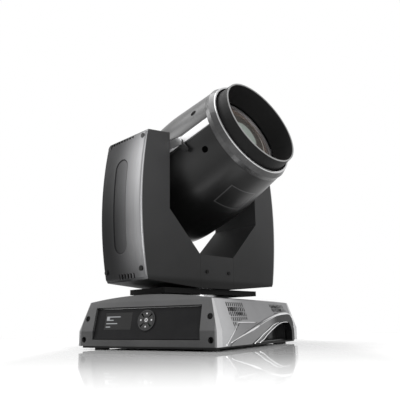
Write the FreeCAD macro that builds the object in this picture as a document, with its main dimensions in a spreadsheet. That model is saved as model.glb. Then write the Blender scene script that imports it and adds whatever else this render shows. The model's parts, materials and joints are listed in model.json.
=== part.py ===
import FreeCAD, Part
import math
import os
import Sketcher

# Moving head light: a base that stands or hangs, a yoke that pans on it and a head that tilts
# between the yoke's arms. Millimetres. Z is the pan axis and z = 0 is the underside of the base
# plate. The display side of the base faces -Y.
#
# Three frames are used. Base pieces are drawn where they stand. Yoke pieces are drawn with the
# tilt axis along X and are turned about Z by the pan angle at rest. Head pieces are drawn upright,
# with the beam along +Z from the tilt axis, and are tipped forwards by the tilt angle at rest.

Vector = FreeCAD.Vector
Placement = FreeCAD.Placement
Rotation = FreeCAD.Rotation

DIMENSIONS = [
    # how the light is posed at rest
    ("pan_rest", 75.0), ("tip_rest", 70.0),
    # base envelope
    ("base_half_x", 130.0), ("base_half_y", 162.5), ("crease_z", 26.0),
    ("top_half_x", 117.0), ("top_half_y", 152.0), ("top_z", 72.0), ("crown", 9.5),
    ("trim_deep", 15.0), ("cover_wall", 2.5), ("seam", 0.3), ("trim_bottom", 3.0),
    # base plate, feet and the four quarter-turn mounting holes
    ("plate_half_x", 125.0), ("plate_half_y", 158.0), ("plate_thick", 3.0),
    ("hang_x", 106.0), ("hang_y", 190.0), ("hang_hole", 5.0), ("socket_wide", 9.0), ("socket_tall", 7.0),
    ("foot_x", 104.0), ("foot_y", 134.0), ("foot_radius", 12.0), ("foot_tall", 3.0),
    ("screw_radius", 4.2), ("recess_radius", 4.6), ("screw_tall", 2.0), ("screw_sunk", -2.0),
    # control panel
    ("panel_half_x", 101.0), ("panel_tall", 50.0), ("panel_mid_z", 38.0), ("panel_sunk", 4.0),
    ("panel_thick", 3.0), ("lcd_x", -54.5), ("lcd_y", 4.5), ("lcd_wide", 55.0), ("lcd_tall", 28.0),
    ("lcd_thick", 1.2), ("pad_x", 1.6), ("pad_y", 5.0), ("pad_radius", 17.0), ("pad_hole", 14.0),
    ("key_inner", 6.2), ("key_angle", 78.0), ("enter_radius", 5.6), ("key_tall", 4.0), ("key_proud", 1.2),
    ("key_gap", 0.3), ("key_travel", 0.8), ("board_drop", 10.0), ("board_thick", 1.6),
    # handles in the two sides
    ("handle_front", -122.0), ("handle_toe", -50.0), ("handle_back", 146.0), ("shoulder_y", 34.0),
    ("shoulder_z", 31.0), ("peak_y", 112.0), ("peak_z", 37.0), ("handle_drop", 19.0),
    ("handle_band", 12.0), ("handle_thick", 12.0), ("handle_proud", 1.0), ("recess_front", -20.0),
    ("recess_deep", 30.0), ("recess_top", 34.0), ("recess_wall", 2.0),
    # rear connector panel
    ("rear_half_x", 106.0), ("rear_low", 14.0), ("rear_high", 60.0), ("rear_thick", 2.0),
    ("jack_radius", 12.0), ("jack_deep", 22.0), ("jack_flange", 15.0), ("jack_z", 37.0),
    ("rocker_wide", 12.0), ("rocker_tall", 20.0), ("fuse_radius", 7.0),
    # pan bearing
    ("neck_radius", 36.0), ("neck_bore", 26.0), ("running_fit", 0.05), ("race_radius", 46.0),
    ("bridge_z", 46.0), ("bridge_thick", 6.0), ("bridge_half", 66.0), ("race_tall", 14.0),
    ("neck_bottom", 28.0), ("pan_wheel", 44.0), ("pan_wheel_z", 30.0), ("belt_wide", 9.0),
    ("pan_motor_x", -70.0), ("pan_motor_y", 62.0), ("pinion", 9.0), ("belt_thick", 1.5),
    # yoke
    ("arm_gap", 113.0), ("arm_half_y", 55.0), ("knee_z", 223.0), ("centre_half", 42.3),
    ("centre_top", 152.0), ("yoke_low", 94.5), ("corner_x", 157.0), ("corner_z", 104.0),
    ("arm_top_x", 160.0), ("arm_top_z", 352.0), ("arm_top_in", 358.0), ("arm_bow", 12.0),
    ("arm_wall", 2.5), ("arm_cover", 6.0), ("tilt_z", 313.6), ("frame_z", 105.0), ("frame_thick", 4.0),
    ("frame_half_y", 38.0), ("frame_top", 346.0), ("skirt_half_x", 116.0), ("skirt_half_y", 46.0),
    ("skirt_bottom", 85.0), ("shaft_radius", 15.0), ("bearing_radius", 22.0), ("tilt_wheel", 30.0),
    ("motor_side", 42.0), ("tilt_motor_z", 196.0),
    # head
    ("head_radius", 109.0), ("head_rear_z", -45.0), ("head_mid_z", 40.0), ("rear_radius", 101.0),
    ("rear_round_z", -92.0), ("tail_radius", 70.0), ("tail_z", -128.0), ("mouth_radius", 95.8),
    ("mouth_z", 139.3), ("head_wall", 3.0), ("head_screw_z", 112.0),
    ("head_screw_angle", 23.0), ("rail_angle", 11.4), ("shell_angle", 168.0),
    ("ring_front", 158.0), ("ring_front_radius", 91.0), ("ring_lip", 2.6), ("flange_z", 141.0),
    ("hood_radius", 82.4), ("hood_front", 179.6), ("hood_root", 86.0), ("hood_wall", 2.4),
    ("lens_radius", 70.0), ("lens_z", 126.0), ("lens_edge", 6.0), ("lens_dome", 8.0),
    ("cell_wall", 3.0), ("bulkhead_front", 95.0), ("bulkhead_rear", -48.0), ("bulkhead_thick", 3.0),
    ("side_plate_x", 90.0), ("side_plate_half", 30.0), ("wheel_radius", 52.0), ("wheel_offset", 40.0),
    ("axle_radius", 4.0), ("gate_radius", 9.5), ("colour_z", 10.0), ("gobo_z", 20.0), ("wheel_thick", 2.0),
    ("rod_x", 62.0), ("rod_radius", 3.0), ("focus_z", 56.0), ("focus_thick", 6.0), ("focus_radius", 34.0),
    ("fan_radius", 36.0),
]


class Size:
    """A length that keeps its spreadsheet formula together with its value."""

    def __init__(self, text, value):
        self.text = text
        self.value = value

    @staticmethod
    def of(other):
        if isinstance(other, Size):
            return other
        return Size(repr(float(other)), float(other))

    def __add__(self, other):
        other = Size.of(other)
        return Size("(%s + %s)" % (self.text, other.text), self.value + other.value)

    def __sub__(self, other):
        other = Size.of(other)
        return Size("(%s - %s)" % (self.text, other.text), self.value - other.value)

    def __mul__(self, other):
        other = Size.of(other)
        return Size("(%s * %s)" % (self.text, other.text), self.value * other.value)

    def __truediv__(self, other):
        other = Size.of(other)
        return Size("(%s / %s)" % (self.text, other.text), self.value / other.value)

    def __neg__(self):
        return Size("(-(%s))" % self.text, -self.value)

    def root(self):
        return Size("sqrt(%s)" % self.text, math.sqrt(self.value))

    def __radd__(self, other):
        return Size.of(other) + self

    def __rsub__(self, other):
        return Size.of(other) - self

    def __rmul__(self, other):
        return Size.of(other) * self


class Dims:
    """The spreadsheet's cells, read as d.alias."""

    def __init__(self, sheet):
        self.sheet = sheet

    def __getattr__(self, alias):
        return Size("dims.%s" % alias, float(self.sheet.get(alias)))


doc = FreeCAD.newDocument("moving_head_light")
sheet = doc.addObject("Spreadsheet::Sheet", "dims")
for row, (alias, value) in enumerate(DIMENSIONS, 1):
    sheet.set("A%d" % row, alias)
    sheet.set("B%d" % row, str(value))
    sheet.setAlias("B%d" % row, alias)
doc.recompute()
d = Dims(sheet)

BASE = Placement()
YOKE = Placement(Vector(), Rotation(Vector(0, 0, 1), d.pan_rest.value))
TIPPED = Placement(Vector(0, 0, d.tilt_z.value), Rotation(Vector(1, 0, 0), d.tip_rest.value))
HEAD = YOKE.multiply(TIPPED)

nodes = []


# ---------------------------------------------------------------------------------------------
# helpers
# ---------------------------------------------------------------------------------------------
def bind(thing, prop, size):
    """Ties one property of a document object to the spreadsheet."""
    thing.setExpression(prop, Size.of(size).text)


def keep(thing, label, frame):
    """Names a finished sub-part and puts it in its frame."""
    thing.Label = label
    thing.Placement = frame.multiply(thing.Placement)
    nodes.append(thing)
    return thing


def body(name):
    return doc.addObject("PartDesign::Body", name + "_body")


def plane(owner, role):
    return [f for f in owner.Origin.OriginFeatures if f.Role == role][0]


def arc_centre(start, end, sag):
    """The centre of an arc from its chord's two ends and its height over the chord."""
    across = end[0] - start[0]
    along = end[1] - start[1]
    chord = (across * across + along * along).root()
    back = (chord * chord / 4 - sag * sag) / (2 * sag) / chord
    return (start[0] + end[0]) / 2 - along * back, (start[1] + end[1]) / 2 + across * back


def sketch(owner, role, loops, offset=0):
    """A sketch on one of the body's planes.

    A loop is a list of corners (x, y) or (x, y, sag); with a sag, the edge that leaves that corner
    is an arc that stands out to the right of the direction of travel, or to the left when the sag
    is negative. A loop ("circle", x, y, radius)
    is a circle. Every corner, radius and centre is bound to the spreadsheet.
    """
    made = owner.newObject("Sketcher::SketchObject", "Sketch")
    made.AttachmentSupport = [(plane(owner, role), "")]
    made.MapMode = "FlatFace"
    offset = Size.of(offset)
    made.AttachmentOffset = Placement(Vector(0, 0, offset.value), Rotation())
    made.setExpression("AttachmentOffset.Base.z", offset.text)
    for loop in loops:
        if loop[0] == "circle":
            add_circle(made, *loop[1:])
        else:
            add_loop(made, loop)
    return made


def fix_value(made, kind, geometry, point, size):
    """One dimension from the sketch's origin, bound to the spreadsheet."""
    size = Size.of(size)
    if abs(size.value) < 1e-9:
        axis = -2 if kind == "DistanceX" else -1
        made.addConstraint(Sketcher.Constraint("PointOnObject", geometry, point, axis))
        return
    index = made.addConstraint(Sketcher.Constraint(kind, -1, 1, geometry, point, size.value))
    made.setExpression("Constraints[%d]" % index, size.text)


def add_circle(made, x, y, radius):
    x, y, radius = Size.of(x), Size.of(y), Size.of(radius)
    index = made.addGeometry(Part.Circle(Vector(x.value, y.value, 0), Vector(0, 0, 1), radius.value), False)
    number = made.addConstraint(Sketcher.Constraint("Radius", index, radius.value))
    made.setExpression("Constraints[%d]" % number, radius.text)
    fix_value(made, "DistanceX", index, 3, x)
    fix_value(made, "DistanceY", index, 3, y)


def add_loop(made, corners):
    sized = [[Size.of(value) for value in corner] for corner in corners]
    spots = [Vector(corner[0].value, corner[1].value, 0) for corner in sized]
    count = len(spots)
    ends = []
    for i in range(count):
        start, end = spots[i], spots[(i + 1) % count]
        if len(sized[i]) == 2:
            index = made.addGeometry(Part.LineSegment(start, end), False)
            ends.append((index, 1, 2))
            continue
        run = (end - start).normalize()
        middle = (start + end) * 0.5 + Vector(run.y, -run.x, 0) * sized[i][2].value
        if sized[i][2].value > 0:
            index = made.addGeometry(Part.Arc(start, middle, end), False)
            ends.append((index, 1, 2))
        else:
            index = made.addGeometry(Part.Arc(end, middle, start), False)
            ends.append((index, 2, 1))
    for i in range(count):
        here, after = ends[i], ends[(i + 1) % count]
        made.addConstraint(Sketcher.Constraint("Coincident", here[0], here[2], after[0], after[1]))
    for i in range(count):
        fix_value(made, "DistanceX", ends[i][0], ends[i][1], sized[i][0])
        fix_value(made, "DistanceY", ends[i][0], ends[i][1], sized[i][1])
        if len(sized[i]) == 3:
            centre = arc_centre(sized[i], sized[(i + 1) % count], sized[i][2])
            run = spots[(i + 1) % count] - spots[i]
            kind = "DistanceX" if abs(run.y) > abs(run.x) else "DistanceY"
            fix_value(made, kind, ends[i][0], 3, centre[0] if kind == "DistanceX" else centre[1])


def rectangle(x0, y0, x1, y1):
    return [(x0, y0), (x1, y0), (x1, y1), (x0, y1)]


def pad(owner, made, length, middle=False, reverse=False):
    feature = owner.newObject("PartDesign::Pad", "Pad")
    feature.Profile = made
    bind(feature, "Length", length)
    feature.Midplane = middle
    feature.Reversed = reverse
    owner.Tip = feature
    return feature


def pocket(owner, made, length, middle=False, reverse=False):
    feature = owner.newObject("PartDesign::Pocket", "Pocket")
    feature.Profile = made
    bind(feature, "Length", length)
    feature.Midplane = middle
    feature.Reversed = reverse
    owner.Tip = feature
    return feature


def revolve(owner, made, angle=360, role="Z_Axis", middle=False):
    feature = owner.newObject("PartDesign::Revolution", "Revolution")
    feature.Profile = made
    feature.ReferenceAxis = (plane(owner, role), [""])
    bind(feature, "Angle", angle)
    feature.Midplane = middle
    owner.Tip = feature
    return feature


def polar(owner, feature, count, role="Z_Axis"):
    pattern = owner.newObject("PartDesign::PolarPattern", "PolarPattern")
    pattern.Originals = [feature]
    pattern.Axis = (plane(owner, role), [""])
    pattern.Angle = 360
    pattern.Occurrences = count
    owner.Tip = pattern
    return pattern


def linear(owner, feature, role, length, count, reverse=False):
    pattern = owner.newObject("PartDesign::LinearPattern", "LinearPattern")
    pattern.Originals = [feature]
    pattern.Direction = (plane(owner, role), [""])
    bind(pattern, "Length", length)
    pattern.Occurrences = count
    pattern.Reversed = reverse
    owner.Tip = pattern
    return pattern


def place(thing, x, y, z):
    bind(thing, "Placement.Base.x", x)
    bind(thing, "Placement.Base.y", y)
    bind(thing, "Placement.Base.z", z)
    thing.Placement.Base = Vector(Size.of(x).value, Size.of(y).value, Size.of(z).value)


def block(x0, y0, z0, x1, y1, z1):
    """A Part box between two corners."""
    made = doc.addObject("Part::Box", "Block")
    bind(made, "Length", Size.of(x1) - x0)
    bind(made, "Width", Size.of(y1) - y0)
    bind(made, "Height", Size.of(z1) - z0)
    place(made, x0, y0, z0)
    return made


def rod(x, y, z, radius, length, axis="z"):
    """A Part cylinder that starts at a point and runs along +X, +Y or +Z."""
    made = doc.addObject("Part::Cylinder", "Rod")
    bind(made, "Radius", radius)
    bind(made, "Height", length)
    turn = {"x": Rotation(Vector(0, 1, 0), 90), "y": Rotation(Vector(1, 0, 0), -90), "z": Rotation()}[axis]
    made.Placement = Placement(Vector(), turn)
    place(made, x, y, z)
    return made


def fuse(things):
    made = doc.addObject("Part::MultiFuse", "Fusion")
    made.Shapes = things
    return made


def group(things):
    """Separate solids that share one node."""
    made = doc.addObject("Part::Compound", "Group")
    made.Links = things
    return made


def cut(thing, tool):
    made = doc.addObject("Part::Cut", "Cut")
    made.Base = thing
    made.Tool = tool
    return made


def four(half_x, half_y):
    """The four corners of a rectangle about the pan axis."""
    return [(half_x * sx, half_y * sy) for sx in (-1, 1) for sy in (-1, 1)]


# ---------------------------------------------------------------------------------------------
# base
# ---------------------------------------------------------------------------------------------
def base_plate():
    """The steel floor, with the four sockets that a bracket's quarter-turn studs lock into."""
    made = body("base_plate")
    outline = rectangle(-d.plate_half_x, -d.plate_half_y, d.plate_half_x, d.plate_half_y)
    holes = [("circle", x, y, d.hang_hole) for x, y in four(d.hang_x / 2, d.hang_y / 2)]
    pad(made, sketch(made, "XY_Plane", [outline] + holes), d.plate_thick)
    rings = [("circle", x, y, d.socket_wide) for x, y in four(d.hang_x / 2, d.hang_y / 2)]
    bores = [("circle", x, y, d.hang_hole + 0.5) for x, y in four(d.hang_x / 2, d.hang_y / 2)]
    pad(made, sketch(made, "XY_Plane", rings + bores, d.plate_thick - 0.5), d.socket_tall + 0.5)
    keep(made, "base_plate", BASE)


def rubber_feet():
    feet = [rod(x, y, -d.foot_tall, d.foot_radius, d.foot_tall) for x, y in four(d.foot_x, d.foot_y)]
    keep(group(feet), "rubber_feet", BASE)


def base_outline(inset):
    """The base seen from the front: upright skirt, sloping sides and a crowned top."""
    low, crease, top = d.trim_bottom, d.crease_z, d.top_z
    wide, narrow = d.base_half_x - inset, d.top_half_x - inset
    return [(-wide, low), (wide, low), (wide, crease), (narrow, top - inset, d.crown),
            (-narrow, top - inset), (-wide, crease)]


def slope_wedge(sign):
    """What the sloping front or rear face takes off a straight end."""
    far = d.base_half_y + 5
    return [(sign * d.base_half_y, d.crease_z), (sign * far, d.crease_z), (sign * far, d.top_z + 40),
            (sign * d.top_half_y - sign * 9, d.top_z + 40), (sign * d.top_half_y, d.top_z)]


def trim_screws():
    """Where each end frame's four screws sit, as seen from the front."""
    return [(116.0 * side, 46.0) for side in (-1, 1)] + [(119.0 * side, 13.0) for side in (-1, 1)]


def end_trim(name, sign, opening):
    """The moulded frame round the control panel or the connector panel."""
    made = body(name)
    offset = (d.base_half_y - d.trim_deep) * -sign
    pad(made, sketch(made, "XZ_Plane", [base_outline(Size.of(0))], offset), d.trim_deep, reverse=sign > 0)
    pocket(made, sketch(made, "YZ_Plane", [slope_wedge(Size.of(sign))]), d.base_half_x * 2 + 10,
           middle=True)
    pocket(made, sketch(made, "XZ_Plane", [opening]), d.base_half_y * 2 + 20, middle=True)
    recesses = [("circle", x, z, d.recess_radius) for x, z in trim_screws()]
    seat = (d.top_half_y - d.screw_sunk) * -sign
    pocket(made, sketch(made, "XZ_Plane", recesses, seat), 20, reverse=sign < 0)
    keep(made, name, BASE)


def front_trim():
    half = d.panel_tall / 2
    opening = rectangle(-d.panel_half_x, d.panel_mid_z - half, d.panel_half_x, d.panel_mid_z + half)
    end_trim("front_trim", -1, opening)


def rear_trim():
    end_trim("rear_trim", 1, rectangle(-d.rear_half_x, d.rear_low, d.rear_half_x, d.rear_high))


def handle_outer(grow):
    """The outer edge of a handle, seen from the side: a long toe, a crown and a steep heel."""
    low = d.trim_bottom
    return [(d.handle_back + grow, low), (d.handle_back + grow, d.handle_drop, 5.0),
            (d.peak_y + 12, d.peak_z + d.handle_band + 2 + grow),
            (d.shoulder_y + 16, d.shoulder_z + d.handle_band + 3 + grow, 4.0),
            (d.handle_front - grow, low + 2 + grow), (d.handle_front - grow, low)]


def base_cover():
    made = body("base_cover")
    long = (d.base_half_y - d.trim_deep - d.seam) * 2
    inner = base_outline(d.cover_wall)
    pad(made, sketch(made, "XZ_Plane", [base_outline(Size.of(0))]), long, middle=True)
    hollow = [(x, z if z.value > d.trim_bottom.value else z - 1, *rest) for x, z, *rest in
              [tuple(Size.of(v) for v in corner) for corner in inner]]
    pocket(made, sketch(made, "XZ_Plane", [hollow]), long + 10, middle=True)
    pocket(made, sketch(made, "XY_Plane", [("circle", 0, 0, d.neck_radius + 1.5)]), 200, reverse=True)
    mouth = handle_outer(d.seam)
    mouth[0], mouth[-1] = (mouth[0][0], d.trim_bottom - 1), (mouth[-1][0], d.trim_bottom - 1)
    pocket(made, sketch(made, "YZ_Plane", [mouth]), 400, middle=True)
    slot = pocket(made, sketch(made, "YZ_Plane", [rectangle(-112, 48, -109, 60)]), 400, middle=True)
    linear(made, slot, "Y_Axis", 42, 8)
    rear = pocket(made, sketch(made, "YZ_Plane", [rectangle(62, 55, 65, 65)]), 400, middle=True)
    linear(made, rear, "Y_Axis", 42, 8)
    keep(made, "base_cover", BASE)


def handle(name, sign):
    """The arched grip that bridges the hand recess in one side."""
    made = body(name)
    heel = d.handle_back - d.handle_band
    inner = [(d.handle_toe, d.trim_bottom), (d.shoulder_y, d.shoulder_z, -2.0), (d.peak_y, d.peak_z, -4.0),
             (heel, d.handle_drop), (heel, d.trim_bottom)]
    outside = (d.base_half_x + d.handle_proud) * sign
    pad(made, sketch(made, "YZ_Plane", [inner + handle_outer(Size.of(0))], outside), d.handle_thick,
        reverse=sign > 0)
    keep(made, name, BASE)


def handle_recesses():
    """The pans behind the handles that keep fingers out of the electronics."""
    wall = d.recess_wall
    outer = d.base_half_x + d.handle_proud - d.handle_thick - d.seam
    inner = d.base_half_x - d.cover_wall - d.recess_deep
    front, back = d.recess_front, d.handle_back - d.handle_band - 4
    low, high = d.plate_thick, d.recess_top
    right = cut(block(inner, front, low, outer, back, high),
                block(inner + wall, front + wall, low + wall, outer + 5, back - wall, high - wall))
    left = cut(block(-outer, front, low, -inner, back, high),
               block(-outer - 5, front + wall, low + wall, -inner - wall, back - wall, high - wall))
    keep(group([left, right]), "handle_recesses", BASE)


def panel_frame():
    """The frame of the sloping control panel: x to the right, y up the slope, z outwards."""
    run = d.base_half_y.value - d.top_half_y.value
    rise = d.top_z.value - d.crease_z.value
    lean = math.degrees(math.atan2(run, rise))
    face_y = -d.base_half_y.value + (d.panel_mid_z.value - d.crease_z.value) * run / rise
    turn = Rotation(Vector(1, 0, 0), 90 - lean)
    out = turn.multVec(Vector(0, 0, 1))
    return Placement(Vector(0, face_y, d.panel_mid_z.value) - out * d.panel_sunk.value, turn)


PANEL = panel_frame()


def control_panel():
    """The sloping panel, with the raised rim round its keys."""
    made = body("control_panel")
    half = d.panel_tall / 2
    reach = half - 1.2
    outline = rectangle(-(d.panel_half_x - d.seam), -reach, d.panel_half_x - d.seam, reach)
    pad(made, sketch(made, "XY_Plane", [outline, ("circle", d.pad_x, d.pad_y, d.pad_hole)]),
        d.panel_thick, reverse=True)
    window = rectangle(d.lcd_x - d.lcd_wide / 2, d.lcd_y - d.lcd_tall / 2,
                       d.lcd_x + d.lcd_wide / 2, d.lcd_y + d.lcd_tall / 2)
    pocket(made, sketch(made, "XY_Plane", [window]), d.lcd_thick)
    rings = [("circle", d.pad_x, d.pad_y, d.pad_radius), ("circle", d.pad_x, d.pad_y, d.pad_hole)]
    pad(made, sketch(made, "XY_Plane", rings, -0.5), d.key_proud + 0.5)
    keep(made, "control_panel", PANEL)


def display_window():
    made = body("display_window")
    wide, tall = d.lcd_wide / 2 - d.key_gap, d.lcd_tall / 2 - d.key_gap
    outline = rectangle(d.lcd_x - wide, d.lcd_y - tall, d.lcd_x + wide, d.lcd_y + tall)
    pad(made, sketch(made, "XY_Plane", [outline]), d.lcd_thick, reverse=True)
    keep(made, "display_window", PANEL)


def nav_key(name, angle):
    """One quarter of the ring of arrow keys."""
    made = body(name)
    outline = rectangle(d.key_inner, d.key_proud - d.key_tall, d.pad_hole - d.key_gap, d.key_proud)
    revolve(made, sketch(made, "XZ_Plane", [outline]), d.key_angle, middle=True)
    made.Placement = Placement(Vector(d.pad_x.value, d.pad_y.value, 0), Rotation(Vector(0, 0, 1), angle))
    keep(made, name, PANEL)


def enter_key():
    made = body("enter_key")
    pad(made, sketch(made, "XY_Plane", [("circle", d.pad_x, d.pad_y, d.enter_radius)],
                     d.key_proud - d.key_tall), d.key_tall)
    keep(made, "enter_key", PANEL)


def control_board():
    """The board behind the panel that carries the display and the key contacts."""
    half = d.panel_tall / 2 - 4
    board = block(-85, -half, -d.board_drop, 85, half, d.board_thick - d.board_drop)
    posts = [rod(x, y, d.board_thick - d.board_drop, 2.5, d.board_drop - d.board_thick - d.panel_thick)
             for x, y in four(d.panel_half_x - 20, half - 4)]
    display = block(d.lcd_x - 20, d.lcd_y - 10, d.board_thick - d.board_drop,
                    d.lcd_x + 20, d.lcd_y + 10, -d.panel_thick)
    contacts = rod(d.pad_x, d.pad_y, d.board_thick - d.board_drop, 10,
                   d.board_drop - d.board_thick - d.key_tall + d.key_proud - d.key_travel - 0.4)
    keep(fuse([board, display, contacts] + posts), "control_board", PANEL)


def rear_y():
    """The face of the rear connector panel, just inside its sloping frame."""
    return d.base_half_y - 9.5


def connector_panel():
    made = body("connector_panel")
    outline = rectangle(-(d.rear_half_x - d.seam), d.rear_low + d.seam, d.rear_half_x - d.seam,
                        d.rear_high - d.seam)
    round_holes = [("circle", x, d.jack_z, d.jack_radius) for x in REAR_JACKS]
    fuse_hole = ("circle", 44, d.jack_z, d.fuse_radius)
    wide, tall = d.rocker_wide / 2, d.rocker_tall / 2
    rocker_hole = rectangle(66 - wide, d.jack_z - tall, 66 + wide, d.jack_z + tall)
    holes = round_holes + [fuse_hole, rocker_hole]
    pad(made, sketch(made, "XZ_Plane", [outline] + holes, -rear_y()), d.rear_thick)
    keep(fuse([made, fuse_holder(), switch_housing()]), "connector_panel", BASE)


REAR_JACKS = [-84.0, -50.0, -16.0, 88.0]


def jack(x, bore, pins):
    """A round panel connector: a flange on the outside and a cup that reaches inside."""
    outside = rear_y()
    barrel = rod(x, outside - d.jack_deep, d.jack_z, d.jack_radius - d.seam, d.jack_deep, axis="y")
    flange = rod(x, outside, d.jack_z, d.jack_flange, 2.5, axis="y")
    hollow = rod(x, outside - d.jack_deep + 4, d.jack_z, bore, d.jack_deep + 10, axis="y")
    shell = cut(fuse([barrel, flange]), hollow)
    contacts = []
    for i in range(pins):
        angle = 2 * math.pi * i / pins
        px, pz = x + 5 * math.sin(angle), d.jack_z + 5 * math.cos(angle)
        contacts.append(rod(px, outside - d.jack_deep + 3, pz, 1.2, 12, axis="y"))
    return fuse([shell] + contacts)


def rear_sockets():
    """Network, data out, data in and the power inlet, from left to right behind the panel."""
    network, data_out, data_in, power = REAR_JACKS
    sockets = [jack(network, 8.0, 8), jack(data_out, 8.5, 5), jack(data_in, 8.5, 5), jack(power, 9.0, 3)]
    keep(group(sockets), "rear_sockets", BASE)


def fuse_holder():
    outside = rear_y()
    barrel = rod(44, outside - 26, d.jack_z, d.fuse_radius, 26, axis="y")
    bore = rod(44, outside - 24, d.jack_z, d.fuse_radius - 2, 40, axis="y")
    return cut(barrel, bore)


def fuse_cap():
    """The screw cap that holds the fuse, slotted for a coin."""
    outside = rear_y()
    head = rod(44, outside + 0.4, d.jack_z, d.fuse_radius + 2, 5, axis="y")
    stem = rod(44, outside - 12, d.jack_z, d.fuse_radius - 2 - d.running_fit, 12.4, axis="y")
    slot = block(38, outside + 4, d.jack_z - 0.8, 50, outside + 7, d.jack_z + 0.8)
    keep(cut(fuse([head, stem]), slot), "fuse_cap", BASE)


def switch_housing():
    wide, tall = d.rocker_wide / 2, d.rocker_tall / 2
    outside = rear_y()
    shell = block(66 - wide, outside - 14, d.jack_z - tall, 66 + wide, outside + 0.6, d.jack_z + tall)
    hollow = block(67.2 - wide, outside - 12, d.jack_z - tall + 1.2, 64.8 + wide, outside + 5,
                   d.jack_z + tall - 1.2)
    return cut(shell, hollow)


def power_switch():
    """The rocker: a shallow V that pivots in the housing."""
    made = body("power_switch")
    wide, tall = d.rocker_wide / 2 - 2, d.rocker_tall / 2 - 3.0
    pivot = rear_y() - 4
    profile = [(pivot - 4, d.jack_z - 2.5), (pivot - 4, d.jack_z + 2.5), (pivot + 3.4, d.jack_z + tall),
               (pivot + 6.4, d.jack_z + tall), (pivot + 4.2, d.jack_z), (pivot + 6.4, d.jack_z - tall),
               (pivot + 3.4, d.jack_z - tall)]
    pad(made, sketch(made, "YZ_Plane", [profile], 66), wide * 2, middle=True)
    keep(made, "power_switch", BASE)


def power_supply():
    case = block(-42, -134, d.plate_thick, 42, -74, 43)
    feet = [block(x, -138, d.plate_thick, x + 12, -70, d.plate_thick + 2) for x in (-38, 26)]
    keep(fuse([case] + feet), "power_supply", BASE)


# ---------------------------------------------------------------------------------------------
# pan drive
# ---------------------------------------------------------------------------------------------
def bearing_bridge():
    """The plate on four posts that carries the pan bearing over the big pulley."""
    half = d.bridge_half
    reach = half - 7
    made = body("bearing_bridge")
    outline = rectangle(-half, -half, half, half)
    pad(made, sketch(made, "XY_Plane", [outline, ("circle", 0, 0, d.race_radius)], d.bridge_z),
        d.bridge_thick)
    posts = [("circle", reach * x, reach * y, 5) for x, y in ((1, 0), (0, 1), (-1, 0), (0, -1))]
    pad(made, sketch(made, "XY_Plane", posts, d.plate_thick), d.bridge_z - d.plate_thick)
    collar = [("circle", 0, 0, d.race_radius + 4), ("circle", 0, 0, d.race_radius)]
    pad(made, sketch(made, "XY_Plane", collar, d.bridge_z), d.race_tall)
    keep(made, "bearing_bridge", BASE)


def pan_bearing():
    made = body("pan_bearing")
    rings = [("circle", 0, 0, d.race_radius), ("circle", 0, 0, d.neck_radius + d.running_fit)]
    pad(made, sketch(made, "XY_Plane", rings, d.bridge_z), d.race_tall)
    keep(made, "pan_bearing", BASE)


def pan_neck():
    """The hollow shaft that the yoke turns on, with its belt pulley; cables pass through the bore."""
    made = body("pan_neck")
    top = d.frame_z
    low, high = d.pan_wheel_z, d.pan_wheel_z + d.belt_wide + 3
    rim = d.pan_wheel + 3
    profile = [(d.neck_bore, d.neck_bottom), (d.neck_radius, d.neck_bottom), (d.neck_radius, low),
               (rim, low), (rim, low + 1.5), (d.pan_wheel, low + 1.5), (d.pan_wheel, high - 1.5),
               (rim, high - 1.5), (rim, high), (d.neck_radius, high), (d.neck_radius, top - 4),
               (d.neck_radius + 4, top - 4), (d.neck_radius + 4, top), (d.neck_bore, top)]
    revolve(made, sketch(made, "XZ_Plane", [profile]))
    keep(made, "pan_neck", YOKE)


def belt_loop(x0, y0, r0, x1, y1, r1, thick):
    """A flat belt round two pulleys, as a prism one unit tall in its own plane."""
    across, along = x1 - x0, y1 - y0
    length = math.hypot(across, along)
    swing = math.acos((r0 - r1) / length)
    heading = math.atan2(along, across)

    def outline(grow):
        points = []
        for x, y, radius, base in ((x0, y0, r0, math.pi), (x1, y1, r1, 0.0)):
            first, last = heading + swing, heading - swing
            points.append([Vector(x + (radius + grow) * math.cos(a), y + (radius + grow) * math.sin(a), 0)
                           for a in (first, heading + base, last)])
        big, small = points
        edges = [Part.Arc(big[0], big[1], big[2]).toShape(), Part.makeLine(big[2], small[2]),
                 Part.Arc(small[2], small[1], small[0]).toShape(), Part.makeLine(small[0], big[0])]
        return Part.Face(Part.Wire(edges))

    return outline(thick).cut(outline(0.05))


def pan_motor():
    side = d.motor_side / 2
    x, y = d.pan_motor_x, d.pan_motor_y
    top = d.pan_wheel_z - 2
    case = block(x - side, y - side, d.plate_thick, x + side, y + side, top)
    shaft = rod(x, y, top, 2.5, d.belt_wide + 6)
    keep(fuse([case, shaft]), "pan_motor", BASE)


def pan_pinion():
    x, y = d.pan_motor_x, d.pan_motor_y
    low, tall = d.pan_wheel_z, d.belt_wide + 3
    gear = fuse([rod(x, y, low, d.pinion, tall), rod(x, y, low, d.pinion + 2, 1.4),
                 rod(x, y, low + tall - 1.4, d.pinion + 2, 1.4)])
    keep(cut(gear, rod(x, y, low - 1, 2.5 + d.running_fit, tall + 2)), "pan_pinion", BASE)


def pan_belt():
    loop = belt_loop(0, 0, d.pan_wheel.value + 0.3, d.pan_motor_x.value, d.pan_motor_y.value,
                     d.pinion.value + 0.3, d.belt_thick.value)
    made = doc.addObject("Part::Feature", "pan_belt_loop")
    made.Shape = loop.extrude(Vector(0, 0, d.belt_wide.value - 1))
    made.Placement = Placement(Vector(0, 0, d.pan_wheel_z.value + 2), Rotation())
    keep(made, "pan_belt", BASE)


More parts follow.
